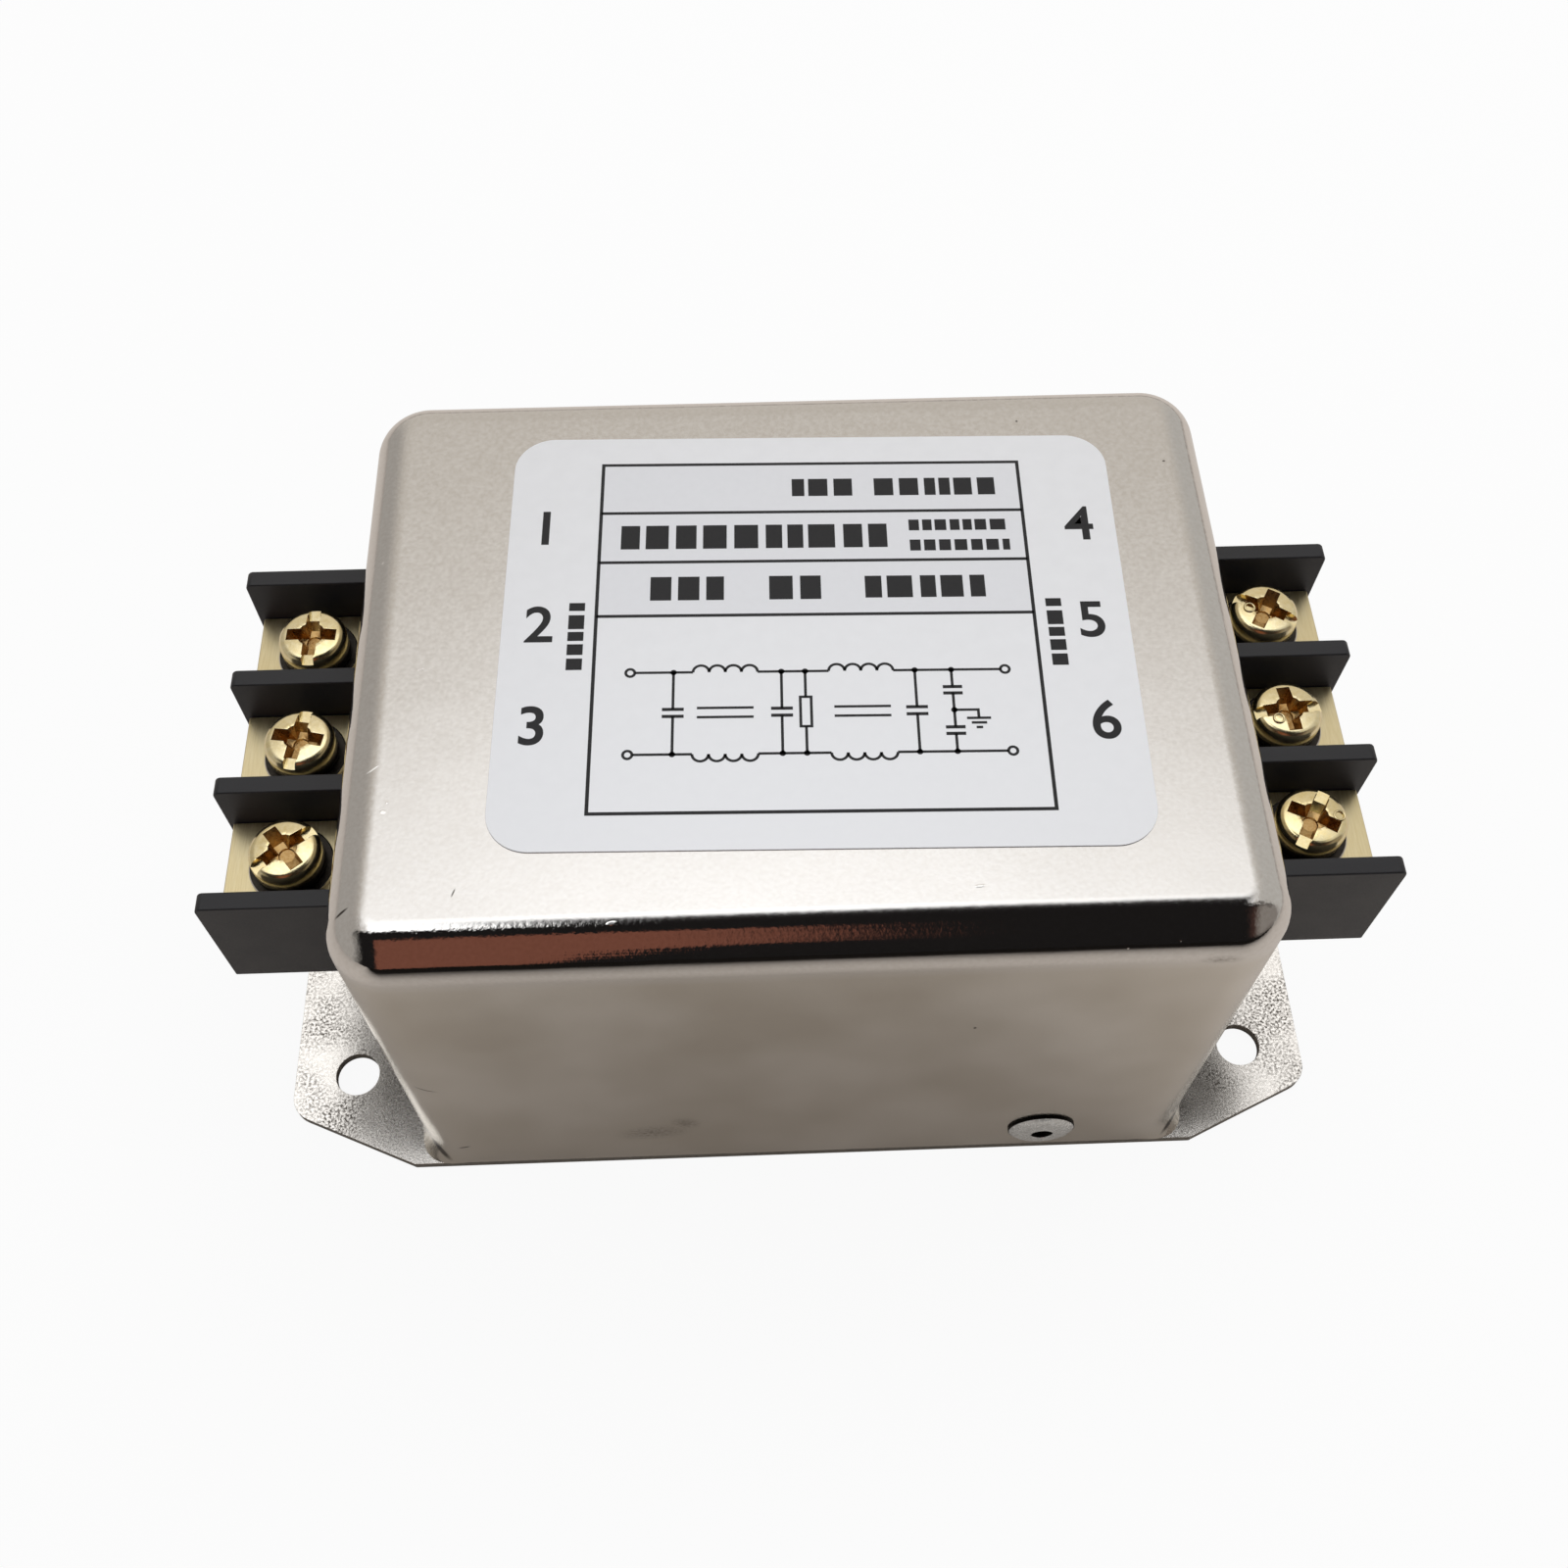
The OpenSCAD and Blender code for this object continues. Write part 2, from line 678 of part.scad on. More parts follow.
module y_capacitor(y) {
    middle = board_top + y_cap_up + y_cap_d / 2;
    color("#3f77ad") translate([0, y, 0]) {
        translate([0, 0, middle]) rotate([90, 0, 0]) rotate_extrude() {
            translate([0, -y_cap_t / 2]) square([y_cap_d / 2 - y_cap_t / 2, y_cap_t]);
            intersection() {
                translate([y_cap_d / 2 - y_cap_t / 2, 0]) circle(d = y_cap_t);
                translate([0, -y_cap_t / 2]) square([y_cap_d / 2, y_cap_t]);
            }
        }
        for (s = [-1, 1])
            translate([s * y_cap_pins / 2, 0, pin_end])
                cylinder(d = lead_d, h = middle - y_cap_t / 2 - pin_end);
    }
}

module bleed_resistor() {
    color("#cdb98c") translate([resistor_x, resistor_y, 0]) {
        translate([0, 0, resistor_z]) rotate([0, 90, 0])
            cylinder(d = resistor_d, h = resistor_l, center = true);
        translate([0, 0, resistor_z]) rotate([0, 90, 0])
            cylinder(d = lead_d, h = resistor_pins, center = true);
        for (s = [-1, 1])
            translate([s * resistor_pins / 2, 0, 0]) {
                translate([0, 0, resistor_z]) sphere(d = lead_d);
                translate([0, 0, pin_end]) cylinder(d = lead_d, h = resistor_z - pin_end);
            }
    }
}

// ---- parts ----

housing_can();
base_plate();
rivet_front();
rivet_back();
rating_label();
for (end = sides)
    terminal_block(end);
for (end = sides, i = [1:bays]) {
    terminal_plate(end, i);
    terminal_screw(end, i);
    spring_washer(end, i);
    flat_washer(end, i);
}
circuit_board();
board_posts();
insulating_sheet();
earth_tag();
for (end = sides) {
    choke_core(end);
    choke_divider(end);
    for (half = ["live", "neutral"])
        choke_winding(end, half);
}
x_capacitor(-1);  // x_capacitor_line
x_capacitor(0);  // x_capacitor_middle
x_capacitor(1);  // x_capacitor_load
y_capacitor(y_cap_back);  // y_capacitor_live
y_capacitor(y_cap_front);  // y_capacitor_neutral
bleed_resistor();
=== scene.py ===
# The looks of a chassis-mounted EMI line filter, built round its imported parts.
import random
from math import copysign, cos, hypot, pi, radians, sin

import bmesh
import bpy
from mathutils import Matrix, Vector


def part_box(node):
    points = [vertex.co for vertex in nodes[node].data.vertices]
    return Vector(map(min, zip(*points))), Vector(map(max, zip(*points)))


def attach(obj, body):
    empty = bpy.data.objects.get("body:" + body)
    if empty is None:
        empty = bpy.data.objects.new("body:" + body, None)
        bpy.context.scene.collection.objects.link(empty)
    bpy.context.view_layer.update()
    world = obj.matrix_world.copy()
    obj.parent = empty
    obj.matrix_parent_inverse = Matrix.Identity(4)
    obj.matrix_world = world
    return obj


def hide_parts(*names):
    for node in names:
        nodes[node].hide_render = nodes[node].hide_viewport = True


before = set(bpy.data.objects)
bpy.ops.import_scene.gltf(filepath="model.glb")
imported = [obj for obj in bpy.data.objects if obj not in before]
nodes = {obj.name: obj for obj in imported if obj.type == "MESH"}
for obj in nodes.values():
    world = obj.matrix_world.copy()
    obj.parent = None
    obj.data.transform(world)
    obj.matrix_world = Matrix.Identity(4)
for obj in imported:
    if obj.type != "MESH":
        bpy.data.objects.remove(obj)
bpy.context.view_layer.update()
mm = 0.001  # every size below is in millimetres and is turned to metres with this
ends = ("line", "load")
bays = (1, 2, 3)
print("frame loaded:", len(nodes), "nodes")


def linearColour(hexCode):
    channels = [int(hexCode[i:i + 2], 16) / 255 for i in (1, 3, 5)]
    return tuple(c / 12.92 if c <= 0.04045 else ((c + 0.055) / 1.055) ** 2.4 for c in channels) + (1.0,)


def setInputs(tree, node, values):
    # maps an input to a constant, to an output, or to a node whose result feeds it
    for key, value in values.items():
        if isinstance(value, bpy.types.Node):
            value = value.outputs[2 if getattr(value, "data_type", "") == "RGBA" else 0]
        if isinstance(value, bpy.types.NodeSocket):
            tree.links.new(value, node.inputs[key])
        else:
            node.inputs[key].default_value = value


def addNode(tree, kind, values=None, **settings):
    node = tree.nodes.new(kind)
    for key, value in settings.items():
        setattr(node, key, value)
    setInputs(tree, node, values or {})
    return node


def newObject(name, data):
    obj = bpy.data.objects.new(name, data)
    bpy.context.scene.collection.objects.link(obj)
    return obj


def meshObject(name, work):
    # an object with the finished shape of a bmesh, which is then freed
    mesh = bpy.data.meshes.new(name)
    work.to_mesh(mesh)
    work.free()
    return newObject(name, mesh)


def applyModifiers(obj):
    graph = bpy.context.evaluated_depsgraph_get()
    mesh = bpy.data.meshes.new_from_object(obj.evaluated_get(graph))
    obj.modifiers.clear()
    obj.data = mesh
    return obj


def smoothShade(obj, angle=35):
    # smooth across gentle bends only, with the big flat faces kept flat
    obj.data.shade_smooth()
    obj.data.set_sharp_from_angle(angle=radians(angle))
    obj.modifiers.new("flatFacesFirst", "WEIGHTED_NORMAL").keep_sharp = True
    return applyModifiers(obj)


def bevelEdges(obj, width, angle):
    bevel = obj.modifiers.new("brokenEdges", "BEVEL")
    bevel.width = width * mm
    bevel.segments = 2
    bevel.limit_method = "ANGLE"
    bevel.angle_limit = radians(angle)
    bevel.use_clamp_overlap = True
    return applyModifiers(obj)


def finishPiece(obj, material, slot, *replaced):
    if material:
        obj.data.materials.clear()
        obj.data.materials.append(material)
    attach(obj, "root")
    if replaced:
        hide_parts(*replaced)
    return obj


def dressedCopy(node, width, material, slot, angle=40):
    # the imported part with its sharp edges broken, as a tumbled or moulded edge is
    work = bmesh.new()
    work.from_mesh(nodes[node].data)
    bmesh.ops.remove_doubles(work, verts=work.verts, dist=0.0005 * mm)
    bmesh.ops.dissolve_limit(work, angle_limit=radians(0.5), verts=work.verts, edges=work.edges)
    obj = meshObject(node + "_dressed", work)
    bevelEdges(obj, width, angle)
    smoothShade(obj)
    return finishPiece(obj, material, slot, node)


def lathe(name, profile, steps):
    # profile is a list of (radius, height) from the axis at the top to the axis at the bottom
    work = bmesh.new()
    rings = []
    for radius, height in profile:
        if radius == 0:
            rings.append([work.verts.new((0, 0, height * mm))])
        else:
            turns = [2 * pi * k / steps for k in range(steps)]
            rings.append([work.verts.new((radius * mm * cos(a), radius * mm * sin(a), height * mm))
                          for a in turns])
    for upper, lower in zip(rings, rings[1:]):
        for k in range(steps):
            n = (k + 1) % steps
            corners = [upper[k % len(upper)], lower[k % len(lower)],
                       lower[n % len(lower)], upper[n % len(upper)]]
            work.faces.new(list(dict.fromkeys(corners)))  # a point on the axis stands in for two corners
    if len(rings[0]) > 1 and len(rings[-1]) > 1:  # a ring with a hole closes on itself
        for k in range(steps):
            n = (k + 1) % steps
            work.faces.new([rings[-1][k], rings[0][k], rings[0][n], rings[-1][n]])
    bmesh.ops.recalc_face_normals(work, faces=work.faces)
    return meshObject(name, work)


def boxSolid(low, high):
    solid = bmesh.new()
    bmesh.ops.create_cube(solid, size=1)
    centre = (Vector(low) + Vector(high)) / 2 * mm
    size = (Vector(high) - Vector(low)) * mm
    solid.transform(Matrix.Translation(centre) @ Matrix.Diagonal((*size, 1)))
    return solid


def coneSolid(place, turn, radius, tipRadius, height, sides):
    # stands on its wide end before it is turned and moved
    solid = bmesh.new()
    bmesh.ops.create_cone(solid, cap_ends=True, segments=sides, radius1=radius * mm, radius2=tipRadius * mm,
                          depth=height * mm, matrix=Matrix.Translation(Vector(place) * mm) @ turn)
    return solid


def cutAway(obj, solids):
    for solid in solids:
        cutter = meshObject("cutter", solid)
        boolean = obj.modifiers.new("cut", "BOOLEAN")
        boolean.operation = "DIFFERENCE"
        boolean.solver = "EXACT"
        boolean.object = cutter
        applyModifiers(obj)
        bpy.data.objects.remove(cutter)


canLow, canHigh = (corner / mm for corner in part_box("housing_can"))
labelTop = (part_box("rating_label")[1] / mm).z


def screwSpot(end, bay):
    low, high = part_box(f"terminal_screw_{end}_{bay}")
    middle = (low + high) / 2 / mm
    return Vector((middle.x, middle.y, high.z / mm))


def startMaterial(name, finish):
    # a plain shader with its fixed values, and the piece's own coordinates
    material = bpy.data.materials.new(name)
    material.use_nodes = True
    tree = material.node_tree
    shader = tree.nodes["Principled BSDF"]
    setInputs(tree, shader, finish)
    return material, tree, shader, addNode(tree, "ShaderNodeTexCoord").outputs["Object"]


def grainedFinish(name, dark, light, rough, grain, depth=0.004, stretch=(1, 1, 1), patches=0.0, **finish):
    # one fine grain (its size in millimetres) leads the tone, the gloss and the height of the surface,
    # and slow patches thirty grains wide may lead a share of the tone
    material, tree, shader, place = startMaterial(name, finish)
    laid = addNode(tree, "ShaderNodeMapping", {"Vector": place, "Scale": stretch})
    noise = addNode(tree, "ShaderNodeTexNoise", {"Vector": laid, "Scale": 1 / (grain * mm), "Detail": 3.0})
    tone = addNode(tree, "ShaderNodeMapRange", {"Value": noise, "From Min": 0.3, "From Max": 0.7})
    if patches:
        slow = addNode(tree, "ShaderNodeTexNoise", {"Vector": place, "Scale": 1 / (grain * 30 * mm)})
        blot = addNode(tree, "ShaderNodeMapRange", {"Value": slow, "From Min": 0.35, "From Max": 0.65})
        tone = addNode(tree, "ShaderNodeMix", {0: patches, 2: tone, 3: blot})
    colour = addNode(tree, "ShaderNodeMix", {0: tone, 6: linearColour(dark), 7: linearColour(light)},
                     data_type="RGBA")
    gloss = addNode(tree, "ShaderNodeMapRange", {"Value": tone, "To Min": rough[0], "To Max": rough[1]})
    bump = addNode(tree, "ShaderNodeBump", {"Height": noise, "Distance": depth * mm, "Strength": 0.5})
    setInputs(tree, shader, {"Base Color": colour, "Roughness": gloss, "Normal": bump})
    return material


wearAndPaintedLightMarks = {  # centre and half sizes in millimetres, and the mark's turn in degrees
    "bright": (
        ((-38.9, -13.1, 54.2), (0.75, 0.11, 1.0), (0, 0, 35)),
        ((-37.5, -17.5, 54.2), (0.3, 0.2, 1.0), (0, 0, 0)),
        ((-37.2, -16.6, 54.2), (0.16, 0.1, 1.0), (0, 0, 0)),
        ((-40.0, 10.5, 54.1), (0.2, 0.13, 1.0), (0, 0, 60)),
        ((-35.3, -2.4, 54.2), (0.34, 0.07, 1.0), (0, 0, 15)),
        ((14.5, -26.6, 54.2), (0.5, 0.16, 1.0), (0, 0, 5)),
        ((-17.2, -29.0, 54.1), (0.5, 0.2, 1.0), (0, 0, 10)),
        # painted glints: three small highlights on the rounded front edge
        ((27.0, -32.2, 51.9), (0.1, 1.0, 0.1), (0, 0, 0)),
        ((31.5, -32.0, 52.4), (0.12, 1.0, 0.12), (0, 0, 0)),
        ((21.8, -31.0, 53.7), (0.14, 1.0, 0.1), (0, 0, 0))),
    "dark": (
        ((-40.4, -27.0, 53.6), (0.85, 0.16, 1.5), (0, 0, 30)),
        ((-30.8, -25.7, 54.2), (0.5, 0.08, 1.0), (0, 0, 70)),
        ((23.5, 26.4, 54.2), (0.14, 0.14, 1.0), (0, 0, 0)),
        ((37.8, 20.6, 54.2), (0.18, 0.12, 1.0), (0, 0, 0)),
        ((15.4, -32.4, 36.1), (0.2, 1.0, 0.26), (0, 0, 0)),
        ((-38.3, -32.4, 24.1), (1.6, 1.0, 0.14), (0, 12, 0)),
        ((-37.0, -32.4, 6.4), (0.9, 1.0, 0.2), (0, -25, 0)),
        # painted shade: dark crescents at the foot of both front corners, standing for the flare's contact
        # shade
        ((-40.0, -31.6, 3.9), (0.6, 1.3, 3.1), (0, -24, 0)),
        ((40.7, -31.4, 3.9), (0.5, 1.4, 3.0), (0, 24, 0))),
    # darker patches on the front wall: low on the left, and just under the rounded edge on the right
    "darkPatch": (
        ((-16.3, -32.4, 9.2), (4.4, 2.0, 2.4), (0, -12, 0)),
        ((-12.8, -32.4, 11.8), (1.7, 2.0, 2.0), (0, -35, 0)),
        ((35.5, -32.4, 50.0), (2.2, 2.0, 0.8), (0, 0, 0))),
}


def markMask(tree, place, marks, soft):
    # 1 inside any of the marks, fading to 0 over the last part of each
    total = None
    for centre, sizes, turn in marks:
        local = addNode(tree, "ShaderNodeMapping", {
            "Vector": place, "Location": Vector(centre) * mm, "Scale": Vector(sizes) * mm,
            "Rotation": [radians(a) for a in turn]}, vector_type="TEXTURE")
        reach = addNode(tree, "ShaderNodeVectorMath", {0: local}, operation="LENGTH")
        mask = addNode(tree, "ShaderNodeMapRange", {"Value": reach.outputs["Value"], "From Min": 1.0 - soft,
                                                    "From Max": 1.0, "To Min": 1.0, "To Max": 0.0})
        total = mask if total is None else addNode(tree, "ShaderNodeMath", {0: total, 1: mask},
                                                   operation="MAXIMUM")
    return total


nickelValues = {
    # each zone: where it starts and is full below the can's top, and its share at both
    "zones": {"satin": (0.14, 0.02, 0, 1), "wall": (5.9, 3.7, 1, 0), "peel": (0.5, 0.1, 0.04, 0.4),
              "ragged": (2.4, 0.6, 0.05, 0.45)},
    "mottle": 0.4, "cloud": 16, "lines": 0.5,  # sizes of the patterns
    "topTones": ("#D8D4CF", "#E0DDD9"), "wallTones": ("#C9C2B6", "#DAD5CC"),
    "topRough": (0.11, 0.17), "wallRough": (0.1, 0.16), "leastRough": 0.05, "nickRough": 0.12,
    # dark marks: handling marks and painted corner shade; bright marks: scratches and painted glints
    "darkPatch": "#6E675C", "darkPatchShare": 0.85, "dark": "#4A443E", "bright": "#FBF9F5",
}


def drawnNickel(marks, v):
    # bright nickel on deep-drawn steel: satin and finely mottled on the flat top, mirror-bright where the
    # die burnished the rounded edge, and softly bright down the walls, with a few handling marks, darker
    # patches on the front wall, painted shade at the foot of both front corners and painted glints on the
    # rounded front edge
    material, tree, shader, place = startMaterial("drawn_steel_bright_nickel", {"Metallic": 1.0})
    height = addNode(tree, "ShaderNodeSeparateXYZ", {0: place}).outputs["Z"]
    zones = {}
    for zone, (start, full, low, high) in v["zones"].items():
        zones[zone] = addNode(tree, "ShaderNodeMapRange", {
            "Value": height, "From Min": canHigh.z * mm - start * mm, "From Max": canHigh.z * mm - full * mm,
            "To Min": low, "To Max": high})
    mottle = addNode(tree, "ShaderNodeTexNoise",
                     {"Vector": place, "Scale": 1 / (v["mottle"] * mm), "Detail": 3.0})
    mottled = addNode(tree, "ShaderNodeMapRange", {"Value": mottle, "From Min": 0.3, "From Max": 0.7})
    cloud = addNode(tree, "ShaderNodeTexNoise",
                    {"Vector": place, "Scale": 1 / (v["cloud"] * mm), "Detail": 2.0})
    clouded = addNode(tree, "ShaderNodeMapRange", {"Value": cloud, "From Min": 0.35, "From Max": 0.65})
    drawn = addNode(tree, "ShaderNodeMapping", {"Vector": place, "Scale": (0.06, 0.06, 1.0)})
    lines = addNode(tree, "ShaderNodeTexNoise",
                    {"Vector": drawn, "Scale": 1 / (v["lines"] * mm), "Detail": 2.0})
    darkPatchMask = markMask(tree, place, marks["darkPatch"], 0.9)
    for factor in (mottled, v["darkPatchShare"]):
        darkPatchMask = addNode(tree, "ShaderNodeMath", {0: darkPatchMask, 1: factor}, operation="MULTIPLY")
    # besides real marks, the dark marks hold painted shade and the bright marks hold painted glints
    darkMark = markMask(tree, place, marks["dark"], 0.5)
    brightMark = markMask(tree, place, marks["bright"], 0.4)
    # the tones: the flat top and the walls, then what lies over them
    topTone, wallTone = (
        addNode(tree, "ShaderNodeMix", {0: share, 6: linearColour(low), 7: linearColour(high)},
                data_type="RGBA")
        for share, (low, high) in ((mottled, v["topTones"]), (clouded, v["wallTones"])))
    tone = topTone
    for share, over in ((zones["wall"], wallTone), (darkPatchMask, linearColour(v["darkPatch"])),
                        (darkMark, linearColour(v["dark"])), (brightMark, linearColour(v["bright"]))):
        tone = addNode(tree, "ShaderNodeMix", {0: share, 6: tone, 7: over}, data_type="RGBA")
    # the gloss: each zone adds its own roughness to the burnished edge's
    topRough, wallRough = (
        addNode(tree, "ShaderNodeMapRange", {"Value": share, "To Min": low, "To Max": high})
        for share, (low, high) in ((mottled, v["topRough"]), (clouded, v["wallRough"])))
    rough = v["leastRough"]
    for share, more in ((zones["satin"], topRough), (zones["wall"], wallRough), (brightMark, v["nickRough"])):
        rough = addNode(tree, "ShaderNodeMath", {0: share, 1: more, 2: rough}, operation="MULTIPLY_ADD")
    # the relief: slow waves, drawing lines, peel on the top, a ragged rounded edge and the nicks
    offTop = addNode(tree, "ShaderNodeMath", {0: 1.0, 1: zones["satin"]}, operation="SUBTRACT")
    coarse = addNode(tree, "ShaderNodeMath", {0: zones["ragged"], 1: offTop}, operation="MULTIPLY")
    under = {}
    for relief, depth, strength in ((cloud, 0.25, 0.3), (lines, 0.012, 0.5), (mottle, 0.012, zones["peel"]),
                                    (mottle, 0.03, coarse), (brightMark, 0.03, 0.4)):
        under = {"Normal": addNode(tree, "ShaderNodeBump", {
            "Height": relief, "Distance": depth * mm, "Strength": strength, **under})}
    setInputs(tree, shader, {"Base Color": tone, "Roughness": rough, **under})
    return material


def sheetNickel():
    # nickel on plain steel sheet: the sheet's grain shows through as fine dark speckle, in patches
    material, tree, shader, place = startMaterial("sheet_steel_nickel", {"Metallic": 0.84})
    grain = addNode(tree, "ShaderNodeTexNoise", {
        "Vector": place, "Scale": 1 / (0.3 * mm), "Detail": 4.0, "Roughness": 0.65})
    cloud = addNode(tree, "ShaderNodeTexNoise", {"Vector": place, "Scale": 1 / (7 * mm), "Detail": 2.0})
    patch = addNode(tree, "ShaderNodeMapRange", {"Value": cloud, "From Min": 0.4, "From Max": 0.62})
    speck = addNode(tree, "ShaderNodeMapRange",
                    {"Value": grain, "From Min": 0.4, "From Max": 0.56, "To Min": 1.0, "To Max": 0.0})
    share = addNode(tree, "ShaderNodeMath", {0: speck, 1: patch}, operation="MULTIPLY")
    tone = addNode(tree, "ShaderNodeMix", {
        0: share, 6: linearColour("#FAF5EE"), 7: linearColour("#565049")}, data_type="RGBA")
    gloss = addNode(tree, "ShaderNodeMapRange",
                    {"Value": grain, "From Min": 0.3, "From Max": 0.7, "To Min": 0.32, "To Max": 0.17})
    bump = addNode(tree, "ShaderNodeBump", {"Height": grain, "Distance": 0.02 * mm, "Strength": 0.6})
    setInputs(tree, shader, {"Base Color": tone, "Roughness": gloss, "Normal": bump})
    return material


# phenolic moulding: nearly black and matt, with the fine grain of its mould
phenolicBlack = grainedFinish("phenolic_moulded_black", "#19191B", "#232327", (0.4, 0.55), 0.14, 0.012,
                              patches=0.3)
# satin metallised polyester: cool silver white that brightens towards the light
labelFilm = grainedFinish("metallised_polyester_satin", "#E1E2E5", "#E4E5E8", (0.34, 0.38), 1.8, 0.001,
                          Metallic=0.35)
# screen-printed ink: black, a little duller than the film
printInk = grainedFinish("screen_ink_black", "#101013", "#18181C", (0.45, 0.6), 0.3, 0.001)
# the same ink at a light tint, under the ruled rows
printTint = grainedFinish("screen_ink_grey", "#DADBDF", "#DCDDE1", (0.34, 0.38), 0.8, 0.001, Metallic=0.3)
# woven glass in epoxy under a green solder mask, glossy
boardLaminate = grainedFinish("glass_epoxy_green", "#1E5A34", "#2A6E40", (0.22, 0.32), 0.5, patches=0.3)
# natural nylon: milky and slightly waxy
naturalNylon = grainedFinish("nylon_natural", "#DAD5C6", "#E8E4D8", (0.35, 0.5), 0.4)
# polyester card: pale, matt, with a paper-like grain
insulatingCard = grainedFinish("polyester_card_pale", "#DDD6BC", "#EAE4CC", (0.4, 0.55), 0.6)
# epoxy powder coat on ferrite: dark green grey with orange peel
coreCoating = grainedFinish("epoxy_powder_on_ferrite", "#2E3B35", "#3C4A43", (0.25, 0.4), 0.8, 0.03)
# moulded capacitor box: smooth strong yellow
capacitorYellow = grainedFinish("moulded_box_yellow", "#D9A41C", "#E6B42A", (0.22, 0.32), 0.3)
# dipped ceramic disc: blue, glossy, slightly lumpy
capacitorBlue = grainedFinish("dipped_ceramic_blue", "#2E66A0", "#3E78B4", (0.12, 0.2), 1.2, 0.05)
# conformal lacquer on a carbon rod: beige and glossy
resistorLacquer = grainedFinish("lacquered_resistor", "#C9B48A", "#D8C49C", (0.2, 0.3), 0.4, 0.01)
# rolled brass strip: pale straw, with the rolling lines running along the strip
brassStrip = grainedFinish("rolled_brass_strip", "#D7C697", "#EBDDB6", (0.3, 0.42), 0.2, 0.006,
                           (1.6, 0.1, 1), 0.3, Metallic=1.0)
# tumbled brass: bright, warm and nearly polished
brassScrew = grainedFinish("tumbled_brass", "#EDD89C", "#FAEDC4", (0.16, 0.24), 0.5, 0.01, patches=0.4,
                           Metallic=1.0)
# painted shade in the recess: browner and darker than the head, and duller
brassRecessShade = grainedFinish("brass_recess_painted_shade", "#B08A54", "#D0AE78", (0.24, 0.36), 0.3, Metallic=1.0)
# plated washer steel, painted dark as the shade under the bright screws
washerPaintedShade = grainedFinish("plated_steel_painted_shade", "#2A2724", "#403C37", (0.3, 0.42), 0.3, Metallic=1.0)
# the same plating in its own bright colour, on a washer's rim
washerRim = grainedFinish("plated_steel_rim", "#C9C3B8", "#DED9D0", (0.16, 0.24), 0.3, Metallic=1.0)
# plain steel rivet, tumbled bright
rivetSteel = grainedFinish("tumbled_steel", "#B9B8B4", "#F4F3F0", (0.16, 0.34), 0.3, 0.02, patches=0.3,
                           Metallic=0.6)
# broken end of the rivet's mandrel: dark and rough; the same dark also paints the shade round the foot of the
# rivet's head
mandrelAndFootShade = grainedFinish("snapped_steel_and_painted_foot_shade", "#191817", "#2B2926", (0.45, 0.6), 0.2, 0.03, Metallic=1.0)
# enamelled copper wire: deep orange under a clear glossy coat
copperWire = grainedFinish("enamelled_copper", "#B05A26", "#CC7840", (0.14, 0.2), 0.8, Metallic=1.0)
# sheared edge of the plated sheet: duller than its faces, and painted darker as the shade of the dark line
# under the can
shearedEdgeAndShade = grainedFinish("sheared_edge_and_painted_shade", "#6E6A64", "#938E86", (0.35, 0.5), 0.25, 0.02, (1, 1, 0.3),
                            Metallic=1.0)
canNickel = drawnNickel(wearAndPaintedLightMarks, nickelValues)
plateNickel = sheetNickel()
print("materials made:", len(bpy.data.materials))


canValues = {"cornerRadius": 5.6, "edgeRadius": 4.4, "sheet": 0.8, "cornerSteps": 16, "edgeSteps": 14,
             "flare": 1.1, "flareHeight": 6.0, "flareSteps": 16, "flareSpacing": 1.5, "flareCurve": 2.4,
             "middleRing": 26, "upperRing": 3,  # plain rings, above the foot and below the rounded edge
             "windowHalfY": 20.15, "windowLow": 25.85, "windowHigh": 41.05, "windowCut": 3,
             "rivetX": 25.7, "rivetZ": 6.6, "rivetHole": 4.1, "rivetCut": 4}


def roundedLoop(halfX, halfY, radius, steps, flare):
    # a rounded rectangle whose corners may swell outwards a little at their middle
    loop = []
    for quarter, (sx, sy) in enumerate(((1, 1), (-1, 1), (-1, -1), (1, -1))):
        for k in range(steps + 1):
            a = pi / 2 * (quarter + k / steps)
            out = radius + flare * sin(pi * k / steps) ** 2
            loop.append((sx * (halfX - radius) + out * cos(a), sy * (halfY - radius) + out * sin(a)))
    return loop


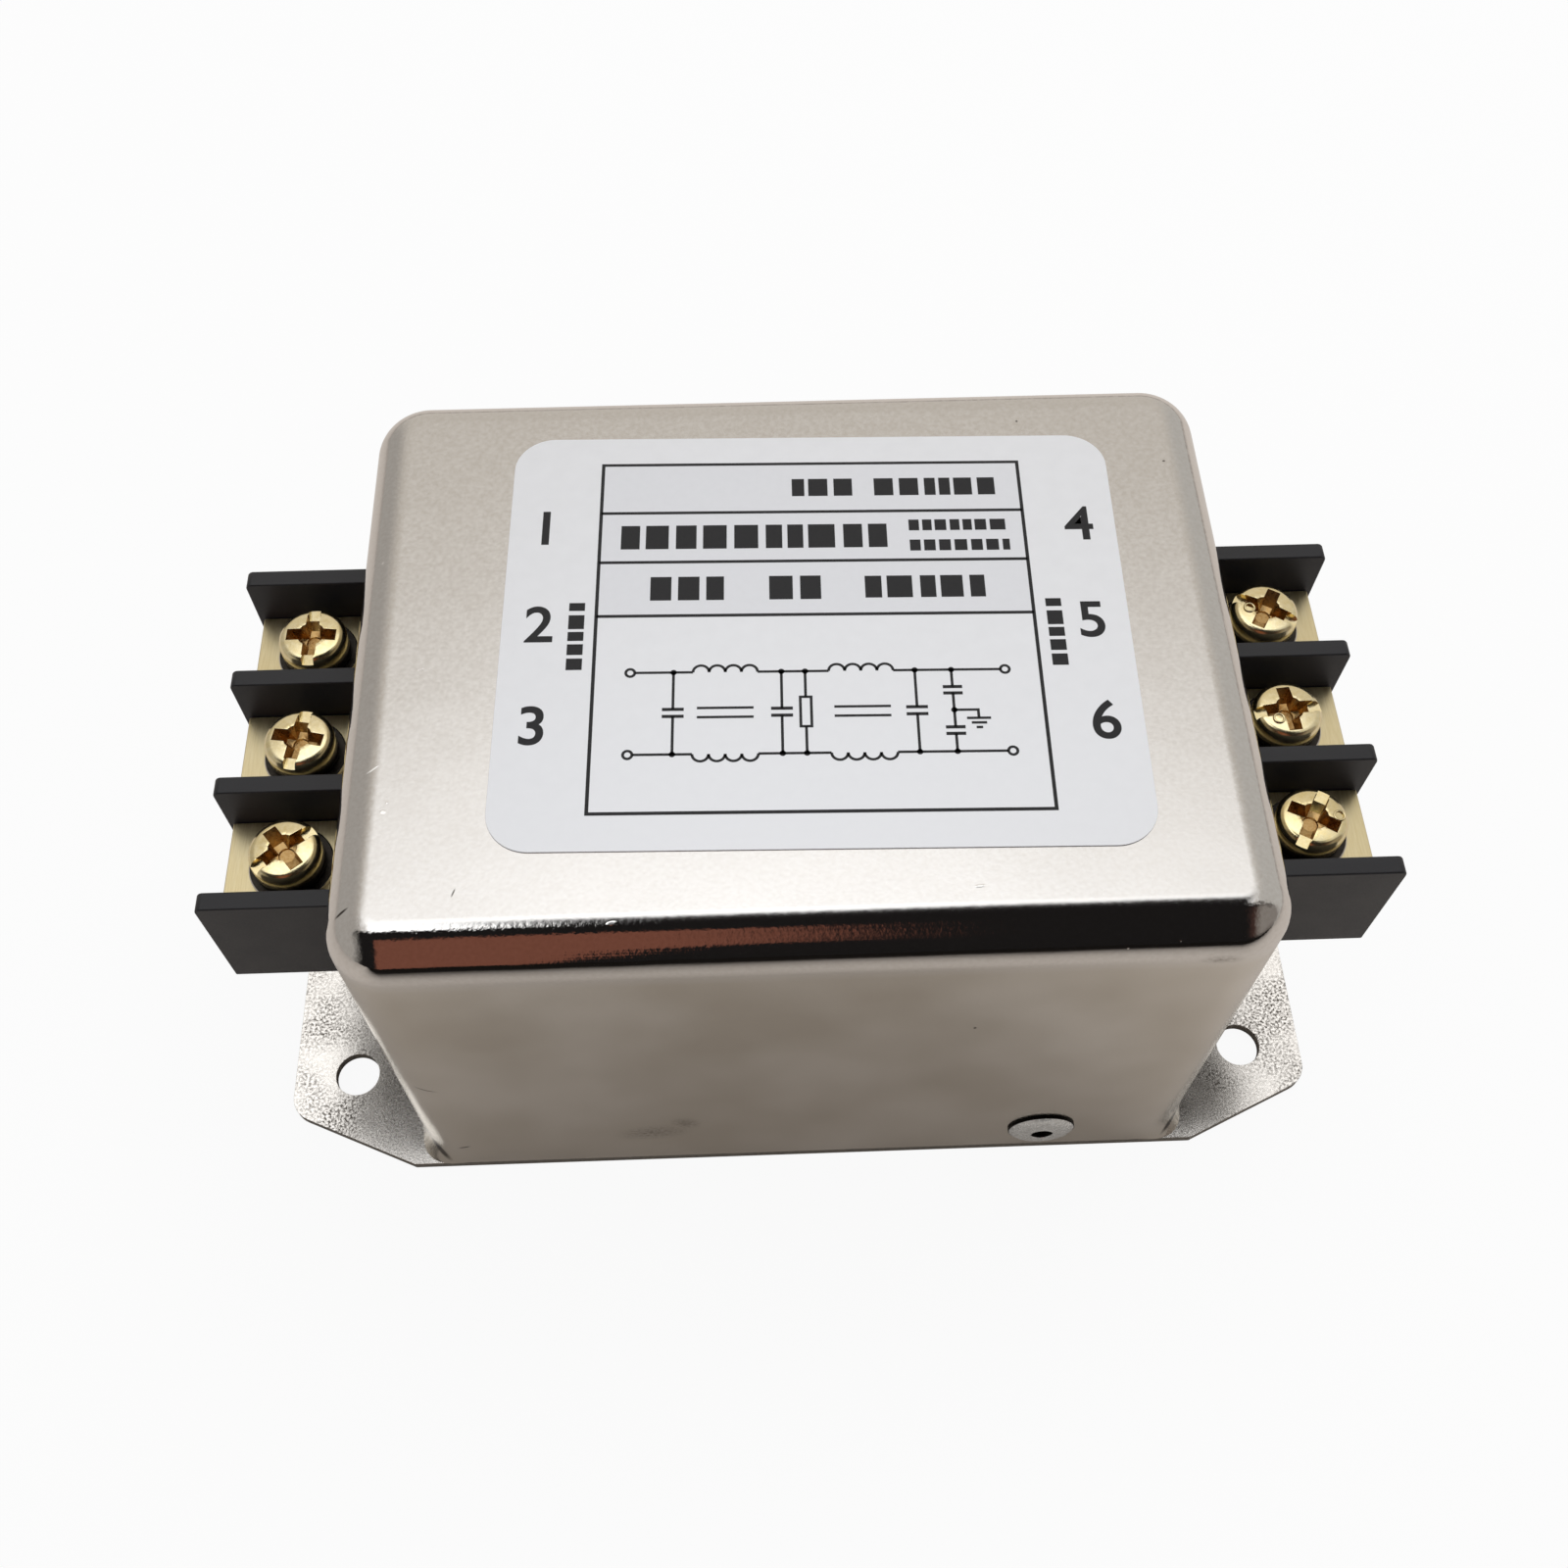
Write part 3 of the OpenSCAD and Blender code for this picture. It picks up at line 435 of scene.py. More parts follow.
def makeCan(v):
    halfX, halfY = canHigh.x, canHigh.y
    levels = []  # inset, height and flare of each ring, from the rim to the top
    for k in range(v["flareSteps"] + 1):
        up = (k / v["flareSteps"]) ** v["flareSpacing"]
        levels.append((0, canLow.z + v["flareHeight"] * up, v["flare"] * (1 - up) ** v["flareCurve"]))
    levels += [(0, canLow.z + v["middleRing"], 0), (0, canHigh.z - v["edgeRadius"] - v["upperRing"], 0)]
    for k in range(v["edgeSteps"] + 1):
        a = pi / 2 * k / v["edgeSteps"]
        levels.append((v["edgeRadius"] * (1 - cos(a)), canHigh.z - v["edgeRadius"] * (1 - sin(a)), 0))
    work = bmesh.new()
    rings = []
    for inset, z, flare in levels:
        loop = roundedLoop(halfX - inset, halfY - inset, v["cornerRadius"] - inset, v["cornerSteps"], flare)
        rings.append([work.verts.new((x * mm, y * mm, z * mm)) for x, y in loop])
    for lower, upper in zip(rings, rings[1:]):
        for k in range(len(lower)):
            n = (k + 1) % len(lower)
            work.faces.new([lower[k], lower[n], upper[n], upper[k]])
    work.faces.new(rings[-1])
    can = meshObject("can_shell", work)
    wall = can.modifiers.new("sheet", "SOLIDIFY")
    wall.thickness = v["sheet"] * mm
    wall.offset = -1
    wall.use_even_offset = True
    applyModifiers(can)
    solids = []
    for side in (-1, 1):
        xs = sorted((side * (halfX - v["windowCut"]), side * (halfX + v["windowCut"])))
        solids.append(boxSolid((xs[0], -v["windowHalfY"], v["windowLow"]),
                               (xs[1], v["windowHalfY"], v["windowHigh"])))
        solids.append(coneSolid((-side * v["rivetX"], side * halfY, v["rivetZ"]),
                                Matrix.Rotation(pi / 2, 4, "X"), v["rivetHole"] / 2, v["rivetHole"] / 2,
                                v["rivetCut"], 32))
    cutAway(can, solids)
    smoothShade(can, 40)
    finishPiece(can, canNickel, "nickel_can", "housing_can")


plateThick = 1.2


def makePlate():
    # the base plate with its sheared rim in a duller finish than its faces, darkened further as painted shade
    plate = dressedCopy("base_plate", 0.22, plateNickel, "nickel_plate")
    plate.data.materials.append(shearedEdgeAndShade)
    for face in plate.data.polygons:
        if abs(face.normal.z) < 0.3 and face.center.z < plateThick * mm:
            face.material_index = 1


makeCan(canValues)
makePlate()
print("housing made")


def spotsTree():
    tree = bpy.data.node_groups.new("pieceOnSpots", "GeometryNodeTree")
    for name, kind in (("Geometry", "Geometry"), ("Piece", "Object"), ("Scale", "Float"),
                       ("Metal", "Material"), ("Recess metal", "Material")):
        tree.interface.new_socket(name, in_out="INPUT", socket_type="NodeSocket" + kind)
    tree.interface.new_socket("Geometry", in_out="OUTPUT", socket_type="NodeSocketGeometry")
    source = addNode(tree, "NodeGroupInput").outputs
    turn, recess = (
        addNode(tree, "GeometryNodeInputNamedAttribute", {"Name": name}, data_type=kind)
        for name, kind in (("turn", "FLOAT_VECTOR"), ("recess", "BOOLEAN")))
    piece = addNode(tree, "GeometryNodeObjectInfo", {"Object": source["Piece"], "As Instance": True})
    spread = addNode(tree, "GeometryNodeInstanceOnPoints", {
        "Points": source["Geometry"], "Instance": piece.outputs["Geometry"],
        "Rotation": turn, "Scale": source["Scale"]})
    real = addNode(tree, "GeometryNodeRealizeInstances", {"Geometry": spread})
    plain = addNode(tree, "GeometryNodeSetMaterial", {"Geometry": real, "Material": source["Metal"]})
    both = addNode(tree, "GeometryNodeSetMaterial",
                   {"Geometry": plain, "Selection": recess, "Material": source["Recess metal"]})
    addNode(tree, "NodeGroupOutput", {0: both})
    return tree


pieceOnSpots = spotsTree()


def onSpots(name, piece, spots, turns, metal, recessMetal=None):
    # piece is repeated at every spot (millimetres), turned by its own angles (radians)
    mesh = bpy.data.meshes.new(name)
    mesh.from_pydata([Vector(spot) * mm for spot in spots], [], [])
    turn = mesh.attributes.new("turn", "FLOAT_VECTOR", "POINT")
    for i, angles in enumerate(turns):
        turn.data[i].vector = angles
    obj = newObject(name, mesh)
    modifier = obj.modifiers.new("spread", "NODES")
    modifier.node_group = pieceOnSpots
    values = {"Piece": piece, "Scale": 1.0, "Metal": metal, "Recess metal": recessMetal or metal}
    for item in pieceOnSpots.interface.items_tree:
        if item.in_out == "INPUT" and item.name in values:
            modifier[item.identifier] = values[item.name]
    applyModifiers(obj)
    bpy.data.objects.remove(piece)
    return obj


def markRecess(obj, inRecess):
    # a face attribute that the node tree reads to give those faces the recess's metal
    flag = obj.data.attributes.new("recess", "BOOLEAN", "FACE")
    for i, face in enumerate(obj.data.polygons):
        flag.data[i].value = inRecess(face.center / mm)


screwValues = {"headRadius": 3.55, "headHeight": 2.6, "rimHeight": 1.45, "shoulder": 0.85, "dome": 0.17,
               "footRise": 0.3, "footStep": 0.22, "shankRadius": 1.95, "plainShank": 0.8, "length": 8,
               "thread": 0.7, "threadDepth": 0.38, "threadEnd": 0.6, "tip": 0.3,
               "slotWidth": 1.2, "slotDepth": 0.8, "crossReach": 3.1, "crossWidth": 1.55, "crossDepth": 1.75,
               "reachTaper": 0.5, "widthTaper": 0.7, "centreTop": 1.6875, "centreBottom": 0.75,
               "turns": {"line": (88, 80, 38), "load": (-30, 5, 60)}}


def makeScrew(v):
    r, h, rim, shoulder = v["headRadius"], v["headHeight"], v["rimHeight"], v["shoulder"]
    flatTop = h - v["dome"]  # height where the low dome meets the shoulder
    dome = [((r - shoulder) * k / 6, h - v["dome"] * (k / 6) ** 2) for k in range(7)]
    turned = [(r - shoulder + shoulder * sin(a), rim + (flatTop - rim) * cos(a))
              for a in (pi / 2 * k / 8 for k in range(1, 9))]
    shank, z = v["shankRadius"], -v["plainShank"]
    root = shank - v["threadDepth"]
    profile = dome + turned + [(r, v["footRise"]), (r - v["footStep"], 0.0), (shank, 0.0), (shank, z)]
    while z - v["thread"] > v["threadEnd"] - v["length"]:
        profile += [(root, z - v["thread"] * 0.45), (root, z - v["thread"] * 0.55), (shank, z - v["thread"])]
        z -= v["thread"]
    profile += [(root, v["tip"] - v["length"]), (root - v["tip"], -v["length"]), (0, -v["length"])]
    screw = lathe("screw", profile, 72)
    half, arm = v["slotWidth"] / 2, v["crossWidth"] / 2
    solids = [boxSolid((-r - 1, -half, h - v["slotDepth"]), (r + 1, half, h + 1))]
    for turn in (0, 90):
        solid = boxSolid((-v["crossReach"], -arm, h - v["crossDepth"]), (v["crossReach"], arm, h + 0.6))
        for vert in solid.verts:  # the arms narrow towards the bottom of the recess
            if vert.co.z < (h - 1) * mm:
                vert.co.x *= v["reachTaper"]
                vert.co.y *= v["widthTaper"]
        solid.transform(Matrix.Rotation(radians(turn), 4, "Z"))
        solids.append(solid)
    solids.append(coneSolid((0, 0, h - v["crossDepth"] / 2 + 0.2), Matrix.Rotation(pi, 4, "X"),
                            v["centreTop"], v["centreBottom"], v["crossDepth"] + 0.8, 16))
    cutAway(screw, solids)
    bevelEdges(screw, 0.06, 45)
    smoothShade(screw, 40)

    def inRecess(c):
        # below the slot, or the walls of the cross beside it
        out = hypot(c.x, c.y)
        deep = c.z < h - v["slotDepth"] - 0.04
        beside = abs(c.y) > half + 0.03 and c.z < h - v["dome"] * (out / (r - shoulder)) ** 2 - 0.08
        return out < v["crossReach"] and c.z > rim - 1 and (deep or beside)
    # the recess faces take the painted shade
    markRecess(screw, inRecess)
    return screw


def makeSpringWasher(v):
    # one turn of square wire, cut through and a little open
    work = bmesh.new()
    sections = []
    for k in range(v["steps"] + 1):
        a = radians(v["cut"] + v["gap"] / 2 + (360 - v["gap"]) * k / v["steps"])
        low = v["open"] * k / v["steps"]
        high = low + v["thick"] - v["open"]
        corners = ((v["inner"], low), (v["outer"], low), (v["outer"], high), (v["inner"], high))
        sections.append([work.verts.new((r * mm * cos(a), r * mm * sin(a), z * mm)) for r, z in corners])
    for first, second in zip(sections, sections[1:]):
        for k in range(4):
            work.faces.new([first[k], first[(k + 1) % 4], second[(k + 1) % 4], second[k]])
    work.faces.new(sections[0])
    work.faces.new(list(reversed(sections[-1])))
    bmesh.ops.recalc_face_normals(work, faces=work.faces)
    washer = meshObject("springWasher", work)
    bevelEdges(washer, 0.12, 50)
    return smoothShade(washer, 40)


def makeFlatWasher(v):
    e = v["edge"]
    washer = lathe("flatWasher", [(v["inner"], v["thick"]), (v["outer"] - e, v["thick"]),
                                  (v["outer"], v["thick"] - e), (v["outer"], e), (v["outer"] - e, 0),
                                  (v["inner"], 0)], 64)
    smoothShade(washer, 40)
    # the washer's face takes the painted shade
    markRecess(washer, lambda c: hypot(c.x, c.y) > v["outer"] - e)  # the rim keeps its bright plating
    return washer


def makePunchMark(v):
    # the small raised ring that the heading tool leaves on a screw's head
    section = [(v["ring"] + v["wire"] * cos(a), v["wire"] * sin(a))
               for a in (pi * 2 * k / 8 for k in range(8))]
    return smoothShade(lathe("punchMark", section, 24), 60)


springValues = {"inner": 2.1, "outer": 3.5, "thick": 1.0, "gap": 9, "cut": 35, "open": 0.14, "steps": 60}
flatValues = {"inner": 2.1, "outer": 4.2, "thick": 0.8, "edge": 0.12}
markValues = {"ring": 0.52, "wire": 0.13, "spots": ((-1.8, 0.1), (-1.3, -1.2), (2.5, 0.0))}


def stackTerminals():
    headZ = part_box("terminal_screw_load_1")[1].z / mm - screwValues["headHeight"]
    springZ = headZ - springValues["thick"]
    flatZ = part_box("flat_washer_load_1")[0].z / mm
    rows = {
        "screw": (makeScrew(screwValues), headZ, "brass_screw", brassScrew, brassRecessShade),
        # both washers' faces are painted dark as the shade under the screw heads
        "spring_washer": (makeSpringWasher(springValues), springZ, "steel_washer", washerPaintedShade, None),
        "flat_washer": (makeFlatWasher(flatValues), flatZ, "steel_washer", washerPaintedShade, washerRim),
    }
    for kind, (piece, z, slot, metal, recessMetal) in rows.items():
        spots, turns, names = [], [], []
        for end in ends:
            for bay in bays:
                spot = screwSpot(end, bay)
                spots.append((spot.x, spot.y, z))
                turns.append((0, 0, radians(screwValues["turns"][end][bay - 1])))
                names.append(("terminal_" if kind == "screw" else "") + f"{kind}_{end}_{bay}")
        obj = onSpots(f"terminal_{kind}s", piece, spots, turns, metal, recessMetal)
        finishPiece(obj, None, slot, *names)
    marks = []
    for bay, (x, y) in zip(bays, markValues["spots"]):
        spot = screwSpot("load", bay)
        domeRadius = screwValues["headRadius"] - screwValues["shoulder"]
        drop = screwValues["dome"] * (hypot(x, y) / domeRadius) ** 2
        marks.append((spot.x + x, spot.y + y, headZ + screwValues["headHeight"] - drop))
    obj = onSpots("screw_punch_marks", makePunchMark(markValues), marks, [(0, 0, 0)] * 3, brassScrew)
    finishPiece(obj, None, "brass_screw")


stackTerminals()
for end in ends:
    dressedCopy(f"terminal_block_{end}", 0.18, phenolicBlack, "block_black")
    for bay in bays:
        dressedCopy(f"terminal_plate_{end}_{bay}", 0.12, brassStrip, "brass_strip")
print("terminals made")


rivetValues = {"head": 3.6, "height": 1.0, "shank": 2.0, "mandrel": 1.15, "mandrelDrop": 1.4, "bulb": 3.0,
               "bulbLength": 3.0, "domeDrop": 0.56, "rim": 0.08, "rimDrop": 0.68,
               # the broken stub: shares of the mandrel's radius, and heights over its edge
               "stub": ((0, 0.25), (0.55, 0.2), (0.8, 0)),
               # the lip round the mandrel: steps outwards, and down from the head's top
               "lip": ((0, 0.12), (0.05, 0.03), (0.16, 0), (0.34, 0), (0.45, 0.07))}


def makeRivets(v):
    for name, side in (("rivet_front", -1), ("rivet_back", 1)):
        low, high = (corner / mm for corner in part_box(name))
        grip = high.y - low.y - v["height"] - v["bulbLength"]
        r, h, m, drop = v["head"], v["height"], v["mandrel"], v["mandrelDrop"]
        lipOut, lipDown = v["lip"][-1]
        stub = [(m * share, up - drop) for share, up in v["stub"]] + [(m - 0.05, -drop - 0.1)]
        lip = [(m + out, h - down) for out, down in v["lip"]]
        dome = [(m + lipOut + (r - v["rim"] - m - lipOut) * k / 8, h - lipDown - v["domeDrop"] * (k / 8) ** 3)
                for k in range(1, 9)]
        bulbEnd = -grip - v["bulbLength"]
        profile = stub + lip + dome + [
            (r, h - v["rimDrop"]), (r, 0.1), (r - 0.12, 0), (v["shank"], 0), (v["shank"], -grip),
            (v["bulb"] - 0.4, -grip), (v["bulb"], -grip - 0.6), (v["bulb"], bulbEnd + 0.8),
            (v["bulb"] - 0.9, bulbEnd), (0, bulbEnd)]
        rivet = smoothShade(lathe("rivet", profile, 64), 50)
        # the mandrel's stub is dark, and the foot of the head is painted dark as contact shade
        markRecess(rivet, lambda c: (hypot(c.x, c.y) < m and -drop - 0.2 < c.z < h - 0.06)
                   or (hypot(c.x, c.y) > r - 0.07 and c.z < h - 0.64))
        wall = (low.y if side < 0 else high.y) - side * v["height"]
        rivet = onSpots(name + "_turned", rivet, [((low.x + high.x) / 2, wall, (low.z + high.z) / 2)],
                        [(pi / 2, 0, 0 if side < 0 else pi)], rivetSteel, mandrelAndFootShade)
        finishPiece(rivet, None, "rivet_steel", name)


makeRivets(rivetValues)
print("rivets made")


labelValues = {"centre": (1.7, 1.1), "turn": -1.2, "rule": 0.34, "thin": 0.26, "ink": 0.012, "tint": 0.004,
               "frame": (-20.85, -19.95, 20.75, 20.2), "rows": (14.0, 7.9, 1.5),
               # fields of bars: start, stop, row, height over the row's middle, height of bars, count
               "words": ((-2.0, 4.6, 0, 0, 2.2, 3), (6.2, 18.8, 0, 0, 2.2, 6), (-18.8, 7.8, 1, 0, 2.9, 10),
                         (9.4, 19.4, 1, 1.25, 1.35, 7), (9.4, 19.4, 1, -1.25, 1.35, 7),
                         (-15.8, -8.2, 2, 0, 2.8, 3), (-4.4, 1.2, 2, 0, 2.8, 2), (4.8, 16.8, 2, 0, 2.6, 5)),
               "sideWords": (-4.6, 3.4, 1.5, 5), "sideX": 22.7, "barShare": 0.76,
               "topLine": -5.0, "bottomLine": -13.9, "lineEnd": 17.0, "endRing": 0.42, "joint": 0.3,
               "coils": ((-11.6, -5.6), (1.0, 7.0)), "bumps": 4, "coreGap": 0.5, "coreInset": 0.4,
               "acrossX": (-13.4, -3.4, 9.0), "plateGap": 0.38, "plateHalf": 1.0,
               "resistorX": -1.2, "resistorHalf": (0.5, 1.6),
               "earthX": 12.4, "earthOff": 2.2, "earthGap": 0.35, "earthHalf": 0.9, "earthSide": 2.2,
               "earthDrop": 0.9, "earthPitch": 0.5, "earthBars": (1.1, 0.7, 0.3),
               "numberHeight": 4.2, "numberX": 26.2, "numberY": (12.0, 0.4, -10.9), "fontSize": 1.38,
               "numberWeight": 0.08}
inkShapes = []  # flat outlines, in the label's own millimetres
tintShapes = []


def box2d(x0, y0, x1, y1):
    return [(x0, y0), (x1, y0), (x1, y1), (x0, y1)]


def stroke(points, width, closed=False):
    # a ribbon of even width along the points, with its corners mitred, as a row of quads
    count = len(points)
    edges = []
    for i, p in enumerate(points):
        before = points[i - 1] if i > 0 or closed else None
        after = points[(i + 1) % count] if i < count - 1 or closed else None
        directions = [Vector((b[0] - a[0], b[1] - a[1])).normalized()
                      for a, b in ((before, p), (p, after)) if a and b]
        along = sum(directions, Vector((0, 0))).normalized()
        across = Vector((-along.y, along.x))
        stretch = 1 / max(0.5, along.dot(directions[0]))
        edges.append([(p[0] + s * across.x * width / 2 * stretch, p[1] + s * across.y * width / 2 * stretch)
                      for s in (1, -1)])
    pairs = list(zip(edges, edges[1:])) + ([(edges[-1], edges[0])] if closed else [])
    return [[a[1], b[1], b[0], a[0]] for a, b in pairs]


def arc(cx, cy, radius, start, end, steps=14):
    turns = [radians(start + (end - start) * k / steps) for k in range(steps + 1)]
    return [(cx + radius * cos(a), cy + radius * sin(a)) for a in turns]


def wordBars(x0, x1, y, height, count, seed, share, upright=False):
    # a field of small bars that fills the place of a printed word
    rng = random.Random(seed)
    widths = [rng.uniform(0.7, 1.3) for _ in range(count)]
    step = (x1 - x0) / sum(widths)
    x = x0
    for w in widths:
        bar = box2d(x, y - height / 2, x + w * step * share, y + height / 2)
        inkShapes.append([(y - (b - y), a) for a, b in bar] if upright else bar)
        x += w * step


def drawCircuit(v):
    thin, top, bottom, end = v["thin"], v["topLine"], v["bottomLine"], v["lineEnd"]
    middle = (top + bottom) / 2

    def line(*points):
        inkShapes.extend(stroke(list(points), thin))

    for y, side in ((top, 1), (bottom, -1)):
        x = -end
        for start, stop in v["coils"]:
            line((x, y), (start, y))
            radius = (stop - start) / v["bumps"] / 2
            for k in range(v["bumps"]):
                cx = start + radius * (2 * k + 1)
                inkShapes.extend(stroke(arc(cx, y, radius, 180, 0 if side > 0 else 360), thin))
            x = stop
        line((x, y), (end, y))
        for x in (-end, end):
            ring = arc(x + copysign(v["endRing"], x), y, v["endRing"], 0, 340)
            inkShapes.extend(stroke(ring, thin, True))
    for start, stop in v["coils"]:  # the shared core between the coils
        for y in (middle + v["coreGap"], middle - v["coreGap"]):
            line((start + v["coreInset"], y), (stop - v["coreInset"], y))
    gap, half = v["plateGap"], v["plateHalf"]
    for x in v["acrossX"]:  # capacitors across the line
        line((x, top), (x, middle + gap))
        line((x, middle - gap), (x, bottom))
        for y in (middle + gap, middle - gap):
            inkShapes.extend(stroke([(x - half, y), (x + half, y)], v["rule"]))
    x, (half, tall) = v["resistorX"], v["resistorHalf"]  # bleed resistor
    line((x, top), (x, middle + tall))
    line((x, middle - tall), (x, bottom))
    inkShapes.extend(stroke(box2d(x - half, middle - tall, x + half, middle + tall), thin, True))
    x, gap, half = v["earthX"], v["earthGap"], v["earthHalf"]  # two capacitors to earth
    for s in (-1, 1):
        y = middle + s * v["earthOff"]
        line((x, top if s > 0 else bottom), (x, y + s * gap))
        line((x, y - s * gap), (x, middle))
        for offset in (-gap, gap):
            inkShapes.extend(stroke([(x - half, y + offset), (x + half, y + offset)], v["rule"]))
    side, low = x + v["earthSide"], middle - v["earthDrop"]
    line((x, middle), (side, middle), (side, low))
    for k, half in enumerate(v["earthBars"]):
        line((side - half, low - v["earthPitch"] * k), (side + half, low - v["earthPitch"] * k))
    joints = [(x, y) for x in sorted((*v["acrossX"], v["resistorX"], v["earthX"])) for y in (top, bottom)]
    for x, y in joints + [(v["earthX"], middle)]:
        inkShapes.append(arc(x, y, v["joint"], 0, 330, 11))


def drawPanel(v):
    x0, y0, x1, y1 = v["frame"]
    inkShapes.extend(stroke(box2d(x0, y0, x1, y1), v["rule"], True))
    for y in v["rows"]:
        inkShapes.extend(stroke([(x0, y), (x1, y)], v["rule"]))
    tintShapes.append(box2d(x0, v["rows"][2], x1, y1))
    middles = [(a + b) / 2 for a, b in zip((y1,) + v["rows"], v["rows"])]
    for seed, (start, stop, row, over, height, count) in enumerate(v["words"], 1):
        wordBars(start, stop, middles[row] + over, height, count, seed, v["barShare"])
    start, stop, height, count = v["sideWords"]
    for x in (-v["sideX"], v["sideX"]):
        wordBars(start, stop, x, height, count, len(v["words"]) + 1, v["barShare"], upright=True)


def fillShapes(name, shapes, low, high, material, v):
    work = bmesh.new()
    turn = radians(v["turn"])
    cx, cy = v["centre"]
    for shape in shapes:
        corners = []
        for z in (low, high):
            corners.append([work.verts.new(((cx + x * cos(turn) - y * sin(turn)) * mm,
                                            (cy + x * sin(turn) + y * cos(turn)) * mm, z * mm))
                            for x, y in shape])
        bottom, top = corners
        work.faces.new(top)
        work.faces.new(list(reversed(bottom)))
        for k in range(len(shape)):
            n = (k + 1) % len(shape)
            work.faces.new([bottom[k], bottom[n], top[n], top[k]])
    bmesh.ops.recalc_face_normals(work, faces=work.faces)
    finishPiece(meshObject(name, work), material, "label_film")


def makeNumbers(v, z):
    work = bmesh.new()
    turn = Matrix.Rotation(radians(v["turn"]), 4, "Z")
    centre = Matrix.Translation(Vector((*v["centre"], z)) * mm)
    for side, first in ((-1, 1), (1, 4)):
        for k, y in enumerate(v["numberY"]):
            curve = bpy.data.curves.new("number", "FONT")
            curve.body = str(first + k)
            curve.align_x = "CENTER"
            curve.align_y = "CENTER"
            curve.size = v["numberHeight"] * v["fontSize"] * mm
            curve.offset = v["numberWeight"] * mm
            curve.extrude = v["ink"] / 2 * mm
            text = newObject("number", curve)
            graph = bpy.context.evaluated_depsgraph_get()
            mesh = bpy.data.meshes.new_from_object(text.evaluated_get(graph))
            mesh.transform(centre @ turn @ Matrix.Translation(Vector((side * v["numberX"], y, 0)) * mm))
            work.from_mesh(mesh)
            bpy.data.objects.remove(text)
    finishPiece(meshObject("label_numbers", work), printInk, "label_film")


dressedCopy("rating_label", 0.03, labelFilm, "label_film", 50)
drawPanel(labelValues)
drawCircuit(labelValues)
thick, ink = labelValues["tint"], labelValues["ink"]
fillShapes("label_tint", tintShapes, labelTop - thick, labelTop + thick, printTint, labelValues)
fillShapes("label_print", inkShapes, labelTop - thick, labelTop + ink, printInk, labelValues)
makeNumbers(labelValues, labelTop + ink / 2)
print("label made:", len(inkShapes), "printed shapes")


insideFinish = {
    # softened edge, finish and slot of each part
    "circuit_board": (0.1, boardLaminate, "board_laminate"),
    "board_posts": (0.15, naturalNylon, "nylon_white"),
    "insulating_sheet": (0.05, insulatingCard, "insulating_film"),
    "earth_tag": (0.1, brassStrip, "brass_strip"),
    "bleed_resistor": (0.3, resistorLacquer, "resistor_lacquer"),
    "y_capacitor_live": (0.05, capacitorBlue, "capacitor_blue"),
    "y_capacitor_neutral": (0.05, capacitorBlue, "capacitor_blue"),
}
for end in ends:
    insideFinish[f"choke_core_{end}"] = (0.05, coreCoating, "core_coating")
    insideFinish[f"choke_divider_{end}"] = (0.1, insulatingCard, "insulating_film")
for place in ("line", "middle", "load"):
    insideFinish[f"x_capacitor_{place}"] = (0.3, capacitorYellow, "capacitor_yellow")
for node, (width, material, slot) in insideFinish.items():
    dressedCopy(node, width, material, slot)
for end in ends:
    for half in ("live", "neutral"):
        winding = nodes[f"choke_winding_{end}_{half}"]
        winding.data.materials.clear()
        winding.data.materials.append(copperWire)
print("inside made")


floorValues = {"half": 3.0, "paper": "#DADADA", "mirrored": "#D9D1CA", "beyond": "#201D1B", "edge": -0.165,
               "slant": 0.45, "fade": 0.15, "flank": 0.6, "flankFade": (-0.06, 0.04), "white": 0.93,
               "drop": 0.00002}  # in metres, which keeps it clear of the part's underside


